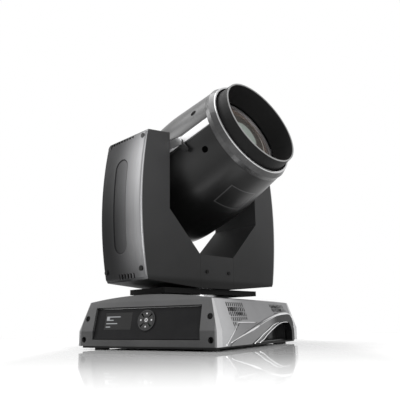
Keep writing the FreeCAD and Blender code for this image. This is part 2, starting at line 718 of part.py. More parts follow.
# ---------------------------------------------------------------------------------------------
# yoke
# ---------------------------------------------------------------------------------------------
def arm_outline(sign):
    """One arm seen from the front, from the centre plate out to the bowed side."""
    corners = [(d.centre_half + d.seam, d.yoke_low), (d.corner_x, d.corner_z, d.arm_bow),
               (d.arm_top_x, d.arm_top_z), (d.arm_gap, d.arm_top_in), (d.arm_gap, d.knee_z),
               (d.centre_half + d.seam, d.centre_top)]
    if sign > 0:
        return corners
    flipped = []
    for corner in corners:
        flipped.append([-corner[0], corner[1]])
    flipped.reverse()
    flipped[3] = [*flipped[3], d.arm_bow]
    return flipped


def arm_hollow(sign):
    """The room inside an arm, open on the outer side for its cover."""
    wall = d.arm_wall
    corners = [(d.centre_half + d.seam - 5, d.yoke_low + wall), (d.corner_x + 30,
                                                                 d.corner_z + wall * 1.6 + 2),
               (d.corner_x + 30, d.arm_top_z - wall * 1.6), (d.arm_gap + wall, d.arm_top_in - wall * 1.2),
               (d.arm_gap + wall, d.knee_z - wall * 0.4), (d.centre_half + d.seam - 5,
                                                           d.centre_top - wall * 1.4 - 5)]
    if sign > 0:
        return corners
    flipped = [(-x, z) for x, z in corners]
    flipped.reverse()
    return flipped


def arm_shell(name, sign):
    made = body(name)
    pad(made, sketch(made, "XZ_Plane", [arm_outline(sign)]), d.arm_half_y * 2, middle=True)
    pocket(made, sketch(made, "XZ_Plane", [arm_hollow(sign)]), (d.arm_half_y - d.arm_wall) * 2, middle=True)
    bore = sketch(made, "YZ_Plane", [("circle", 0, d.tilt_z, d.bearing_radius + 1)], (d.arm_gap - 4) * sign)
    pocket(made, bore, 10, reverse=sign > 0)
    keep(made, name, YOKE)


def arm_cover(name, sign):
    """The bowed outer cover of an arm."""
    made = body(name)
    thick, gap = d.arm_cover, Size.of(0.2)
    inner_low, inner_high = d.corner_x + gap, d.arm_top_x + gap
    corners = [(inner_low, d.corner_z), (inner_low + thick, d.corner_z + 3, d.arm_bow),
               (inner_high + thick - 1, d.arm_top_z - 3), (inner_high, d.arm_top_z, -d.arm_bow)]
    if sign < 0:
        flipped = [[-corner[0], corner[1]] for corner in corners]
        flipped.reverse()
        flipped[1] = [*flipped[1], d.arm_bow]
        flipped[3] = [*flipped[3], -d.arm_bow]
        corners = flipped
    pad(made, sketch(made, "XZ_Plane", [corners]), d.arm_half_y * 2, middle=True)
    recesses = [("circle", y, z, d.recess_radius) for y in COVER_SCREW_Y for z in COVER_SCREW_Z]
    seat = sketch(made, "YZ_Plane", recesses, (d.corner_x + d.arm_cover + 1.5) * sign)
    pocket(made, seat, 20, reverse=sign > 0)
    keep(made, name, YOKE)


COVER_SCREW_Y = (-47.0, 47.0)
COVER_SCREW_Z = (121.0, 341.0)


def centre_cover(sign):
    """Half of the saddle between the arms: an upright wall and half of the top."""
    made = body("centre_cover")
    wall = d.arm_wall
    edge = d.arm_half_y * sign
    inner = (d.arm_half_y - wall) * sign
    middle = d.seam / 2 * sign
    profile = [(edge, d.yoke_low), (edge, d.centre_top), (middle, d.centre_top), (middle,
                                                                                  d.centre_top - wall),
               (inner, d.centre_top - wall), (inner, d.yoke_low)]
    pad(made, sketch(made, "YZ_Plane", [profile]), d.centre_half * 2, middle=True)
    return made


def yoke_skirt():
    made = body("yoke_skirt")
    half_x, half_y = d.skirt_half_x, d.skirt_half_y
    outline = [(-half_x, -half_y), (half_x, -half_y), (half_x, half_y), (-half_x, half_y)]
    hole = ("circle", 0, 0, d.neck_radius + 0.5)
    pad(made, sketch(made, "XY_Plane", [outline, hole], d.skirt_bottom), d.yoke_low - d.skirt_bottom - 0.4)
    wall = Size.of(3)
    inside = rectangle(-half_x + wall, -half_y + wall, half_x - wall, half_y - wall)
    ring = ("circle", 0, 0, d.neck_radius + 3.5)
    pocket(made, sketch(made, "XY_Plane", [inside, ring], d.yoke_low), d.yoke_low - d.skirt_bottom - 3)
    keep(made, "yoke_skirt", YOKE)


def yoke_frame():
    """The folded steel U inside the covers: it carries the tilt bearings and both drives."""
    made = body("yoke_frame")
    near = d.arm_gap + d.arm_wall + 0.5
    far = near + d.frame_thick
    low, thick, top = d.frame_z, d.frame_thick, d.frame_top
    profile = [(-far, low), (far, low), (far, top), (near, top), (near, low + thick), (-near, low + thick),
               (-near, top), (-far, top)]
    pad(made, sketch(made, "XZ_Plane", [profile]), d.frame_half_y * 2, middle=True)
    pocket(made, sketch(made, "YZ_Plane", [("circle", 0, d.tilt_z, d.bearing_radius)]), far * 2 + 10,
           middle=True)
    pocket(made, sketch(made, "XY_Plane", [("circle", 0, 0, d.neck_bore)]), 400, middle=True)
    keep(made, "yoke_frame", YOKE)


def tilt_bearings():
    rings = []
    for sign in (-1, 1):
        start = d.arm_gap + d.arm_wall if sign > 0 else -(d.arm_gap + d.arm_wall + d.frame_thick + 2)
        ring = rod(start, 0, d.tilt_z, d.bearing_radius, d.frame_thick + 2, axis="x")
        hole = rod(start - 1, 0, d.tilt_z, d.shaft_radius + d.running_fit, d.frame_thick + 4, axis="x")
        rings.append(cut(ring, hole))
    keep(group(rings), "tilt_bearings", YOKE)


def belt_x():
    """The inner face of the tilt belt's pulleys, in the left arm."""
    return d.arm_gap + d.arm_wall + d.frame_thick + 5


def tilt_motor():
    side = d.motor_side / 2
    outer = belt_x() + d.belt_wide + 34
    inner = belt_x() + d.belt_wide + 4
    case = block(-outer, -side, d.tilt_motor_z - side, -inner, side, d.tilt_motor_z + side)
    shaft = rod(-inner, 0, d.tilt_motor_z, 2.5, d.belt_wide + 4, axis="x")
    face = d.arm_gap + d.arm_wall + 0.5 + d.frame_thick
    posts = [rod(-inner, y, d.tilt_motor_z + z, 3, inner - face, axis="x")
             for y in (-18, 18) for z in (-17, 17)]
    keep(fuse([case, shaft] + posts), "tilt_motor", YOKE)


def tilt_pinion():
    start = -(belt_x() + d.belt_wide + 2)
    wide = d.belt_wide + 2
    gear = fuse([rod(start, 0, d.tilt_motor_z, d.pinion, wide, axis="x"),
                 rod(start, 0, d.tilt_motor_z, d.pinion + 2, 1.2, axis="x"),
                 rod(start + wide - 1.2, 0, d.tilt_motor_z, d.pinion + 2, 1.2, axis="x")])
    bore = rod(start - 1, 0, d.tilt_motor_z, 2.5 + d.running_fit, wide + 2, axis="x")
    keep(cut(gear, bore), "tilt_pinion", YOKE)


def tilt_belt():
    loop = belt_loop(d.tilt_z.value, 0, d.tilt_wheel.value + 0.3, d.tilt_motor_z.value, 0,
                     d.pinion.value + 0.3, d.belt_thick.value)
    made = doc.addObject("Part::Feature", "tilt_belt_loop")
    made.Shape = loop.extrude(Vector(0, 0, d.belt_wide.value - 1))
    # the loop's own x goes up and its normal goes to -X
    turn = Rotation(Vector(0, 1, 0), -90)
    made.Placement = Placement(Vector(-(belt_x().value + 1.5), 0, 0), turn)
    keep(made, "tilt_belt", YOKE)


def driver_board():
    face = d.arm_gap + d.arm_wall + 0.5 + d.frame_thick
    board = block(face + 6, -34, 130, face + 7.6, 34, 270)
    posts = [rod(face, y, z, 3, 6, axis="x") for y in (-30, 30) for z in (135, 265)]
    chips = [block(face + 7.6, -20, z, face + 12, 20, z + 16) for z in (150, 180, 210, 240)]
    keep(fuse([board] + posts + chips), "driver_board", YOKE)


def tilt_lock():
    """A bracket on the left arm's inner wall, and the lever that pins the head for transport."""
    x, y, z = -d.arm_gap + 0.2, Size.of(-76), d.tilt_z + 22
    bracket = block(x, y - 7, z - 7, x + 1.5, -40, z + 7)
    pivot = rod(x, y, z, 2.5, 7, axis="x")
    keep(fuse([bracket, pivot]), "tilt_lock_bracket", YOKE)
    start = x + 1.8
    lever = [rod(start, y, z, 6, 4.6, axis="x"), rod(start, y - 14, z - 16, 4.5, 4.6, axis="x"),
             bar(start, (y.value, z.value), (y.value - 14, z.value - 16), 9, 4.6)]
    keep(cut(fuse(lever), rod(start - 1, y, z, 2.5 + d.running_fit, 8, axis="x")), "tilt_lock_lever", YOKE)


def bar(x, start, end, wide, thick):
    """A flat bar between two points (y, z), thick along +X."""
    run = Vector(0, end[0] - start[0], end[1] - start[1])
    made = doc.addObject("Part::Box", "Bar")
    bind(made, "Length", thick)
    bind(made, "Width", run.Length)
    bind(made, "Height", wide)
    turn = Rotation(Vector(1, 0, 0), math.degrees(math.atan2(run.z, run.y)))
    corner = Vector(Size.of(x).value, start[0], start[1]) + turn.multVec(Vector(0, 0, -wide / 2))
    made.Placement = Placement(corner, turn)
    return made


def yoke_screws():
    """The cap screws of the arm covers and of the centre plates."""
    heads = []
    seat = d.corner_x + d.arm_cover + 1.5
    for y in COVER_SCREW_Y:
        for z in COVER_SCREW_Z:
            heads.append(rod(seat, y, z, d.screw_radius, d.screw_tall, axis="x"))
            heads.append(rod(-seat - d.screw_tall, y, z, d.screw_radius, d.screw_tall, axis="x"))
    for x in (-27, 29):
        heads.append(rod(x, d.arm_half_y, 123, 3.2, 1.8, axis="y"))
        heads.append(rod(x, -d.arm_half_y - 1.8, 123, 3.2, 1.8, axis="y"))
    keep(group(heads), "yoke_screws", YOKE)


def base_screws():
    heads = []
    seat = d.top_half_y - d.screw_sunk
    for x, z in trim_screws():
        heads.append(rod(x, seat, z, d.screw_radius, d.screw_tall, axis="y"))
        heads.append(rod(x, -seat - d.screw_tall, z, d.screw_radius, d.screw_tall, axis="y"))
    keep(group(heads), "base_screws", BASE)


# ---------------------------------------------------------------------------------------------
# head
# ---------------------------------------------------------------------------------------------
def head_profile():
    """The wall of the head, from its tail to its mouth."""
    wall = d.head_wall
    outer = [(d.tail_radius, d.tail_z), (d.rear_radius, d.rear_round_z), (d.head_radius, d.head_rear_z),
             (d.head_radius, d.head_mid_z), (d.mouth_radius, d.mouth_z)]
    inner = [(d.mouth_radius - wall, d.mouth_z), (d.head_radius - wall, d.head_mid_z),
             (d.head_radius - wall, d.head_rear_z), (d.rear_radius - wall, d.rear_round_z + 1),
             (d.tail_radius - wall, d.tail_z)]
    return outer + inner


def head_part(name, angle, turn):
    """A sector of the head's wall, with its share of the holes for the tilt shafts."""
    made = body(name)
    revolve(made, sketch(made, "XZ_Plane", [head_profile()]), angle, middle=True)
    made.Placement = Placement(Vector(), Rotation(Vector(0, 0, 1), turn))
    return made


def head_screw_spots():
    """The four screws in each side of the head: an angle round the beam and a height."""
    return [(side + lift, d.head_screw_z) for side in (0, 180) for lift in (-d.head_screw_angle.value,
                                                                            d.head_screw_angle.value)]


def radial_rods(radius, inner, length):
    """Cylinders that point straight out of the head's wall at the screws' places."""
    rods = []
    for angle, z in head_screw_spots():
        turn = Rotation(Vector(0, 0, 1), angle)
        made = rod(0, 0, z, radius, length, axis="x")
        made.setExpression("Placement.Base.x", None)
        made.setExpression("Placement.Base.y", None)
        start = turn.multVec(Vector(Size.of(inner).value, 0, 0)) + Vector(0, 0, z.value)
        made.Placement = Placement(start, turn.multiply(Rotation(Vector(0, 1, 0), 90)))
        rods.append(made)
    return rods


def screw_seat():
    """How far from the beam axis the screws' heads sit, under the tapering wall."""
    taper = (d.head_radius - d.mouth_radius) / (d.mouth_z - d.head_mid_z)
    return d.head_radius - (d.head_screw_z - d.head_mid_z) * taper - 2.0


def head_shell(name, turn):
    made = head_part(name, d.shell_angle, turn)
    bore = rod(-200, 0, 0, 31, 400, axis="x")
    keep(cut(made, fuse([bore] + radial_rods(d.recess_radius, screw_seat(), 10))), name, HEAD)


def head_screws():
    keep(group(radial_rods(d.screw_radius, screw_seat() + 0.02, 1.4)), "head_screws", HEAD)


def side_rails():
    rails = []
    for turn in (0, 180):
        made = head_part("side_rail", d.rail_angle, turn)
        rails.append(cut(made, rod(-200, 0, 0, 31, 400, axis="x")))
    keep(group(rails), "side_rails", HEAD)


def front_ring():
    made = body("front_ring")
    rear = d.mouth_z + d.seam
    lip = d.ring_front_radius - d.ring_lip
    bore = d.lens_radius + 8.5
    profile = [(d.mouth_radius, rear), (d.mouth_radius, rear + 8), (d.ring_front_radius, d.ring_front),
               (lip, d.ring_front), (lip, d.flange_z + 4), (bore, d.flange_z + 4), (bore, d.flange_z),
               (d.mouth_radius - 4, d.flange_z), (d.mouth_radius - 4, rear)]
    revolve(made, sketch(made, "XZ_Plane", [profile]))
    keep(made, "front_ring", HEAD)


def lens_hood():
    """The black hood: an outer sleeve, and a cone that narrows to the lens."""
    made = body("lens_hood")
    root = d.flange_z + 4.3
    wall = d.hood_wall
    throat = d.lens_radius + 3.5
    profile = [(d.hood_root - wall, root), (d.hood_root, root), (d.hood_radius, d.hood_front),
               (d.hood_radius - wall, d.hood_front), (throat, d.lens_z + 12), (throat + wall,
                                                                               d.lens_z + 12),
               (d.hood_radius - wall + 1, d.hood_front - 3.6)]
    revolve(made, sketch(made, "XZ_Plane", [profile]))
    keep(made, "lens_hood", HEAD)


def front_lens():
    """A disc with a domed front: what a cylinder and a large ball have in common."""
    edge = d.lens_z + d.lens_edge
    disc = rod(0, 0, d.lens_z, d.lens_radius, d.lens_edge + d.lens_dome)
    curve = (d.lens_radius * d.lens_radius + d.lens_dome * d.lens_dome) / (2 * d.lens_dome)
    ball = doc.addObject("Part::Sphere", "Ball")
    bind(ball, "Radius", curve)
    place(ball, 0, 0, edge + d.lens_dome - curve)
    made = doc.addObject("Part::Common", "Common")
    made.Base = disc
    made.Tool = ball
    keep(made, "front_lens", HEAD)


def cell_profile():
    """The tube on the front bulkhead that holds the front lens."""
    bore = d.lens_radius + d.running_fit
    outside = bore + d.cell_wall
    low, high = d.bulkhead_front + 1, d.lens_z + d.lens_edge + 3
    return [(bore - 4, low), (outside, low), (outside, high), (bore, high), (bore, d.lens_z - 0.05),
            (bore - 4, d.lens_z - 0.05)]


def head_chassis():
    """Two side plates and two bulkheads, folded and riveted into one frame."""
    made = body("head_chassis")
    thick, x0 = d.bulkhead_thick, d.side_plate_x
    discs = [("circle", 0, 0, d.mouth_radius + 1.6), ("circle", 0, 0, 50)]
    pad(made, sketch(made, "XY_Plane", discs, d.bulkhead_front), thick)
    half = d.side_plate_half
    low, high = d.bulkhead_rear, d.bulkhead_front + 1
    for sign in (-1, 1):
        side = [rectangle(-half, low + 1, half, high)]
        pad(made, sketch(made, "YZ_Plane", side, x0 * sign), thick, reverse=sign < 0)
    rear = [("circle", 0, 0, d.head_radius - d.head_wall - 1.2), ("circle", 0, 0, 42.3)]
    pad(made, sketch(made, "XY_Plane", rear, low), thick)
    revolve(made, sketch(made, "XZ_Plane", [cell_profile()]))
    keep(made, "head_chassis", HEAD)


def tilt_shafts():
    """Two hollow stub shafts with flanges on the chassis; the left one ends in the belt pulley."""
    start = d.side_plate_x + d.bulkhead_thick
    belt_end = belt_x() + d.belt_wide + 2
    wide = d.belt_wide + 2
    right = fuse([rod(start, 0, 0, 28, 4, axis="x"), rod(start, 0, 0, d.shaft_radius, belt_x() - start,
                                                         axis="x")])
    left = fuse([rod(-start - 4, 0, 0, 28, 4, axis="x"),
                 rod(-belt_end, 0, 0, d.shaft_radius, belt_end - start, axis="x"),
                 rod(-belt_end, 0, 0, d.tilt_wheel, wide, axis="x"),
                 rod(-belt_end, 0, 0, d.tilt_wheel + 3, 1.2, axis="x"),
                 rod(-belt_end + wide - 1.2, 0, 0, d.tilt_wheel + 3, 1.2, axis="x")])
    bore = rod(-200, 0, 0, d.shaft_radius - 4, 400, axis="x")
    keep(group([cut(right, bore), cut(left, bore)]), "tilt_shafts", HEAD)


def effects_plate():
    """The plate with the two wheels' axles and motors and the focus slide's rods."""
    made = body("effects_plate")
    reach = d.side_plate_x - 0.3
    outline = rectangle(-reach, -54, reach, 54)
    pad(made, sketch(made, "XY_Plane", [outline, ("circle", 0, 0, 24)]), 3)
    for sign in (-1, 1):
        top = d.gobo_z + d.wheel_thick + 3
        pad(made, sketch(made, "XY_Plane", [("circle", 0, d.wheel_offset * sign, d.axle_radius)], 1),
            top - 1)
    motors = [rod(0, d.wheel_offset * sign, -30, 17, 30) for sign in (-1, 1)]
    low = d.bulkhead_rear + d.bulkhead_thick
    rods = [rod(d.rod_x * sign, 0, low, d.rod_radius, d.bulkhead_front - low) for sign in (-1, 1)]
    keep(fuse([made] + motors + rods), "effects_plate", HEAD)


def effect_wheel(name, level, sign):
    """A disc with eight gates, one of them always in the beam."""
    made = body(name)
    rings = [("circle", 0, 0, d.wheel_radius), ("circle", 0, 0, d.axle_radius + d.running_fit)]
    pad(made, sketch(made, "XY_Plane", rings), d.wheel_thick)
    gate = pocket(made, sketch(made, "XY_Plane", [("circle", 0, -d.wheel_offset, d.gate_radius)]),
                  d.wheel_thick * 3, middle=True)
    polar(made, gate, 8)
    made.Placement = Placement(Vector(0, d.wheel_offset.value * sign, level.value), Rotation())
    return made


def colour_wheel():
    """Seven gates carry filters; the eighth stays open for white light."""
    filters = []
    for i in range(1, 8):
        angle = 2 * math.pi * i / 8
        x = d.wheel_offset * math.sin(angle)
        y = d.wheel_offset - d.wheel_offset * math.cos(angle)
        filters.append(rod(x, y, d.colour_z + d.wheel_thick, d.gate_radius + 1.5, 1.1))
    keep(fuse([effect_wheel("colour_wheel", d.colour_z, 1)] + filters), "colour_wheel", HEAD)


def focus_carriage():
    """The ring that slides on the rods, with the focus lens in its bore."""
    made = body("focus_carriage")
    bores = [("circle", d.rod_x * sign, 0, d.rod_radius + d.running_fit) for sign in (-1, 1)]
    rings = [("circle", 0, 0, d.rod_x + 10), ("circle", 0, 0, d.focus_radius)]
    pad(made, sketch(made, "XY_Plane", rings + bores, d.focus_z), d.focus_thick)
    lens = body("focus_lens")
    middle = d.focus_z + d.focus_thick / 2
    rim = d.focus_radius - 0.2
    loop = [(0, middle - 6), (rim, middle - 2), (rim, middle + 2), (0, middle + 6)]
    revolve(lens, sketch(lens, "XZ_Plane", [loop]))
    keep(group([made, lens]), "focus_carriage", HEAD)


def reflector():
    """The bowl behind the lamp, with the lamp's socket on its neck."""
    made = body("reflector")
    profile = [(42, -38), (42, -48), (20, -84), (12, -88), (12, -96), (9.5, -96), (9.5, -86), (18, -81),
               (39.5, -46), (39.5, -38)]
    revolve(made, sketch(made, "XZ_Plane", [profile]))
    socket = cut(rod(0, 0, -108, 15, 12.2), rod(0, 0, -104, 9.5, 20))
    keep(fuse([made, socket]), "reflector", HEAD)


def lamp():
    made = body("lamp")
    profile = [(0, -100), (9.2, -100), (9.2, -88), (5, -84), (8, -74), (5, -64), (0, -60)]
    revolve(made, sketch(made, "XZ_Plane", [profile]))
    keep(made, "lamp", HEAD)


def rear_cap():
    """The vented disc that closes the tail."""
    made = body("rear_cap")
    radius = d.tail_radius - d.head_wall - d.seam
    pad(made, sketch(made, "XY_Plane", [("circle", 0, 0, radius)], d.tail_z), 2.5)
    slot = pocket(made, sketch(made, "XY_Plane", [rectangle(18, -2, 50, 2)]), 400, middle=True)
    polar(made, slot, 16)
    keep(fuse([made, fan_frame()]), "rear_cap", HEAD)


def fan_frame():
    low = d.tail_z + 2.5
    side = d.fan_radius + 4
    frame = cut(block(-side, -side, low, side, side, low + 12), rod(0, 0, low - 1, d.fan_radius + 1, 20))
    return fuse([frame, block(-side + 2, -2, low + 10, side - 2, 2, low + 12), rod(0, 0, low + 10, 12, 2)])


def fan_rotor():
    low = d.tail_z + 2.5
    blades = [rod(0, 0, low + 0.6, 13, 9)]
    for i in range(7):
        blade = block(8, -4, low + 2, d.fan_radius - 0.4, 4, low + 4)
        blade.setExpression("Placement.Base.x", None)
        blade.setExpression("Placement.Base.y", None)
        turn = Placement(Vector(), Rotation(Vector(0, 0, 1), i * 360 / 7))
        blade.Placement = turn.multiply(Placement(Vector(8, -4, (low + 2).value), Rotation()))
        blades.append(blade)
    keep(fuse(blades), "fan_rotor", HEAD)


def main():
    base_plate()
    rubber_feet()
    front_trim()
    rear_trim()
    base_cover()
    handle("handle_left", -1)
    handle("handle_right", 1)
    handle_recesses()
    control_panel()
    display_window()
    for name, angle in (("right", 0), ("up", 90), ("left", 180), ("down", 270)):
        nav_key(name + "_key", angle)
    enter_key()
    control_board()
    connector_panel()
    rear_sockets()
    fuse_cap()
    power_switch()
    power_supply()
    base_screws()
    bearing_bridge()
    pan_bearing()
    pan_motor()
    pan_pinion()
    pan_belt()
    pan_neck()
    for side, sign in (("left", -1), ("right", 1)):
        arm_shell("arm_shell_" + side, sign)
        arm_cover("arm_cover_" + side, sign)
    keep(group([centre_cover(-1), centre_cover(1)]), "centre_covers", YOKE)
    yoke_skirt()
    yoke_frame()
    yoke_screws()
    tilt_bearings()
    tilt_motor()
    tilt_pinion()
    tilt_belt()
    driver_board()
    tilt_lock()
    head_shell("head_shell_upper", 90)
    head_shell("head_shell_lower", 270)
    side_rails()
    head_screws()
    front_ring()
    lens_hood()
    front_lens()
    head_chassis()
    tilt_shafts()
    effects_plate()
    colour_wheel()
    keep(effect_wheel("gobo_wheel", d.gobo_z, -1), "gobo_wheel", HEAD)
    focus_carriage()
    reflector()
    lamp()
    rear_cap()
    fan_rotor()


main()
doc.recompute()
os.makedirs("parts", exist_ok=True)
failed = []
for thing in nodes:
    shape = thing.Shape
    bad = [state for state in thing.State if state in ("Invalid", "Error")]
    if bad or shape.isNull() or not shape.isValid() or not shape.Solids:
        failed.append(thing.Label)
        continue
    shape.exportStep("parts/%s.step" % thing.Label)
for thing in doc.Objects:
    if "Invalid" in thing.State or "Error" in thing.State:
        failed.append(thing.Label)
print("nodes", len(nodes), "failed", failed)
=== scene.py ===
# %% [markdown]
# # A moving head light
# A moving head light steers its own beam: a base stands still, a forked yoke turns on it, and a barrel
# head tilts between the yoke's two arms. The solid model is loaded first and stays as it is, at its
# exact size and place. This script gives it its finishes, and makes the few surfaces that curve more
# freely than a solid model does. Every length is in metres.

import json
import math

import bmesh
import bpy
import numpy as np
from mathutils import Matrix


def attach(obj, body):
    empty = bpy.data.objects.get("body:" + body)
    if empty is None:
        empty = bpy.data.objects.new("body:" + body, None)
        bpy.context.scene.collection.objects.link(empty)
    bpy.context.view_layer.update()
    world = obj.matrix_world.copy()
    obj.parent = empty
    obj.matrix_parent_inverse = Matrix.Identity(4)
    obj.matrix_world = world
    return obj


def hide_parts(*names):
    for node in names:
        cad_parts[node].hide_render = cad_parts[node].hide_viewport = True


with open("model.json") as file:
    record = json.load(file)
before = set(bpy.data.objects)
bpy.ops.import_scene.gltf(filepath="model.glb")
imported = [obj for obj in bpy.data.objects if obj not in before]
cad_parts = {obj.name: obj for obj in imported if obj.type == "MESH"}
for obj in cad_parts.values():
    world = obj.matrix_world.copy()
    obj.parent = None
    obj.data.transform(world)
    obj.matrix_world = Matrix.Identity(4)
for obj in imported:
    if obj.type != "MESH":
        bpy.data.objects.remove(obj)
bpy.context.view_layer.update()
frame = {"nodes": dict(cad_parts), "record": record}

# %% [markdown]
# Each body is easiest to shape in its own axes. The base keeps the frame's axes. The yoke is turned
# about the vertical pan axis. The head is tipped from upright about the tilt axis inside the yoke, so
# the beam runs along the head's own Z. A shape is worked out in those axes and then turned into the
# frame. Parenting it to a turned object would also work, but a finished piece sits at the origin.

# %% Spaces
PAN_DEGREES = 75
TIP_DEGREES = 70
TILT_HEIGHT = 0.3136


def turned(points, degrees, axis):
    """Points turned about X or Z: the two other coordinates mix by the angle's cosine and sine."""
    first, second = {"X": (1, 2), "Z": (0, 1)}[axis]
    c = math.cos(math.radians(degrees))
    s = math.sin(math.radians(degrees))
    result = np.array(points, float)
    a = result[..., first].copy()
    b = result[..., second].copy()
    result[..., first] = c * a - s * b
    result[..., second] = s * a + c * b
    return result


def yoke_space(points):
    """Points in the yoke's axes, turned into the frame."""
    return turned(points, PAN_DEGREES, "Z")


def head_space(points):
    """Points in the head's axes, tipped, turned and raised to the tilt axis."""
    return yoke_space(turned(points, TIP_DEGREES, "X")) + np.array([0, 0, TILT_HEIGHT])


print("tilt axis at", TILT_HEIGHT, "m")

# %% [markdown]
# Every new piece here is a stack of closed rings: a bar's round sections, a shell's outline at one
# angle after another, or a cover's sections from foot to top. So one function joins neighbouring
# rings with quads and covers both ends, and no piece is left open.

# %% Mesh helpers
def tube_faces(rings, around):
    """Quads between neighbouring rings of so many points, and one flat face over each end."""
    ring, point = np.meshgrid(np.arange(rings - 1), np.arange(around), indexing="ij")
    here = ring * around
    beside = (point + 1) % around
    quads = np.stack([here + point, here + beside, here + around + beside, here + around + point], -1)
    first = list(range(around))
    last = list(range((rings - 1) * around, rings * around))
    return quads.reshape(-1, 4).tolist() + [first[::-1], last]


def piece(name, rings, finish, body, sharp=None):
    """A closed mesh at the origin, from an array of rings, that moves with a body."""
    mesh = bpy.data.meshes.new(name)
    mesh.from_pydata(rings.reshape(-1, 3).tolist(), [], tube_faces(*rings.shape[:2]))
    mesh.validate()
    shell = bmesh.new()
    shell.from_mesh(mesh)
    bmesh.ops.recalc_face_normals(shell, faces=shell.faces)
    shell.to_mesh(mesh)
    shell.free()
    mesh.polygons.foreach_set("use_smooth", np.ones(len(mesh.polygons), bool))
    if sharp is not None:
        mesh.set_sharp_from_angle(angle=math.radians(sharp))
    mesh.materials.append(finish)
    made = bpy.data.objects.new(name, mesh)
    bpy.context.scene.collection.objects.link(made)
    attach(made, body)
    return made


def smooth(low, high, x):
    """0 below low, 1 above high, and the S-curve 3t^2 - 2t^3 between."""
    t = np.clip((np.asarray(x, float) - low) / (high - low), 0, 1)
    return t * t * (3 - 2 * t)


print("a ring of 12 sections of 4 points has", len(tube_faces(12, 4)), "faces")

# %% [markdown]
# A finish is a pattern that varies over the surface, and in Blender that is a graph of small nodes.
# Written node by node it hides its own formula. So a socket is wrapped in a class with Python's
# operators: 1 - mask adds a Math node, and a finish below reads like the sum that it is.

# %% Shader helpers
def feed(tree, slot, value):
    """A socket is linked. A constant is set, and a colour is made opaque."""
    if isinstance(value, Socket):
        tree.links.new(value.socket, slot)
    elif slot.type == "RGBA":
        slot.default_value = (*value, 1)
    else:
        slot.default_value = value


def add_node(tree, kind, settings, sockets, output=0):
    """Any node: its settings are set first, then the values or links of its sockets."""
    made = tree.nodes.new(kind)
    for name, value in settings.items():
        setattr(made, name, value)
    for slot, value in sockets.items():
        feed(tree, made.inputs[slot], value)
    return Socket(tree, made.outputs[output])


class Socket:
    """One output of a shader node, with arithmetic."""

    def __init__(self, tree, socket):
        self.tree = tree
        self.socket = socket

    def node(self, kind, settings, sockets, output=0):
        return add_node(self.tree, kind, settings, sockets, output)

    def maths(self, operation, a, b=0.0):
        return self.node("ShaderNodeMath", {"operation": operation}, {0: a, 1: b})

    def __add__(self, other):
        return self.maths("ADD", self, other)

    def __radd__(self, other):
        return self.maths("ADD", other, self)

    def __sub__(self, other):
        return self.maths("SUBTRACT", self, other)

    def __rsub__(self, other):
        return self.maths("SUBTRACT", other, self)

    def __mul__(self, other):
        return self.maths("MULTIPLY", self, other)

    def __rmul__(self, other):
        return self.maths("MULTIPLY", other, self)

    def __truediv__(self, other):
        return self.maths("DIVIDE", self, other)

    def __rtruediv__(self, other):
        return self.maths("DIVIDE", other, self)

    def __abs__(self):
        return self.maths("ABSOLUTE", self)

    def root(self):
        return self.maths("SQRT", self)

    def floor(self):
        return self.maths("FLOOR", self)

    def fraction(self):
        return self.maths("FRACT", self)

    def least(self, other):
        return self.maths("MINIMUM", self, other)

    def most(self, other):
        return self.maths("MAXIMUM", self, other)

    def angle(self, across):
        """The angle of a point that is this far up and that far across."""
        return self.maths("ARCTAN2", self, across)

    def step(self, low, high):
        """0 below low, 1 above high, smooth between."""
        ends = {"Value": self, "From Min": low, "From Max": high}
        return self.node("ShaderNodeMapRange", {"interpolation_type": "SMOOTHSTEP"}, ends)

    def band(self, low, high, edge):
        """1 between low and high, 0 outside, with soft edges."""
        return self.step(low - edge, low + edge) * (1 - self.step(high - edge, high + edge))

    def axes(self):
        """This position's X, Y and Z."""
        return [self.node("ShaderNodeSeparateXYZ", {}, {0: self}, axis) for axis in "XYZ"]

    def mix(self, dark, bright):
        """The colour between two colours, with this as the share of the second."""
        return self.node("ShaderNodeMix", {"data_type": "RGBA"}, {0: self, 6: dark, 7: bright}, 2)

    def turned(self, axis, degrees):
        """This position turned about X or Z through the origin."""
        turn = {"Vector": self, "Angle": math.radians(degrees)}
        return self.node("ShaderNodeVectorRotate", {"rotation_type": axis + "_AXIS"}, turn)

    def in_yoke(self):
        """This position in the yoke's own axes."""
        return self.turned("Z", -PAN_DEGREES)

    def in_head(self):
        """This position in the head's own axes, with the beam along Z."""
        drop = {0: self, 1: (0, 0, TILT_HEIGHT)}
        lowered = self.node("ShaderNodeVectorMath", {"operation": "SUBTRACT"}, drop)
        return lowered.in_yoke().turned("X", -TIP_DEGREES)

    def noise(self, scale, detail=3.0, stretch=None):
        """Cloudy noise from 0 to 1, with so many blobs to a metre, drawn out where stretch is small."""
        where = self
        if stretch:
            where = self.node("ShaderNodeVectorMath", {"operation": "MULTIPLY"}, {0: self, 1: stretch})
        return self.node("ShaderNodeTexNoise", {}, {"Vector": where, "Scale": scale, "Detail": detail})


def distance(a, b):
    """How far a point is from a centre: the root of its two offsets squared and added."""
    return (a * a + b * b).root()


def bump(height, depth):
    """A normal from a height between 0 and 1 that stands for so many metres."""
    return height.node("ShaderNodeBump", {}, {"Strength": 1.0, "Distance": depth, "Height": height})


def grey(value):
    """A grey with a trace of blue, as dark lacquer has."""
    return (value, value, value * 1.01)


def material(name, paint):
    """A material. Its paint function gets the position, and put, which feeds a socket by name."""
    made = bpy.data.materials.new(name)
    made.use_nodes = True
    tree = made.node_tree
    shader = tree.nodes["Principled BSDF"]
    where = add_node(tree, "ShaderNodeTexCoord", {}, {}, "Object")
    paint(where, lambda slot, value: feed(tree, shader.inputs[slot], value))
    return made


print("a dark grey is", grey(0.1))

# %% [markdown]
# The covers are moulded plastic, sprayed with a charcoal lacquer that holds fine metal flakes. One
# flat grey looks like putty. So fine noise is the flakes, slow noise is a coat that dried unevenly,
# and a shallow bump is the orange peel of the spray.

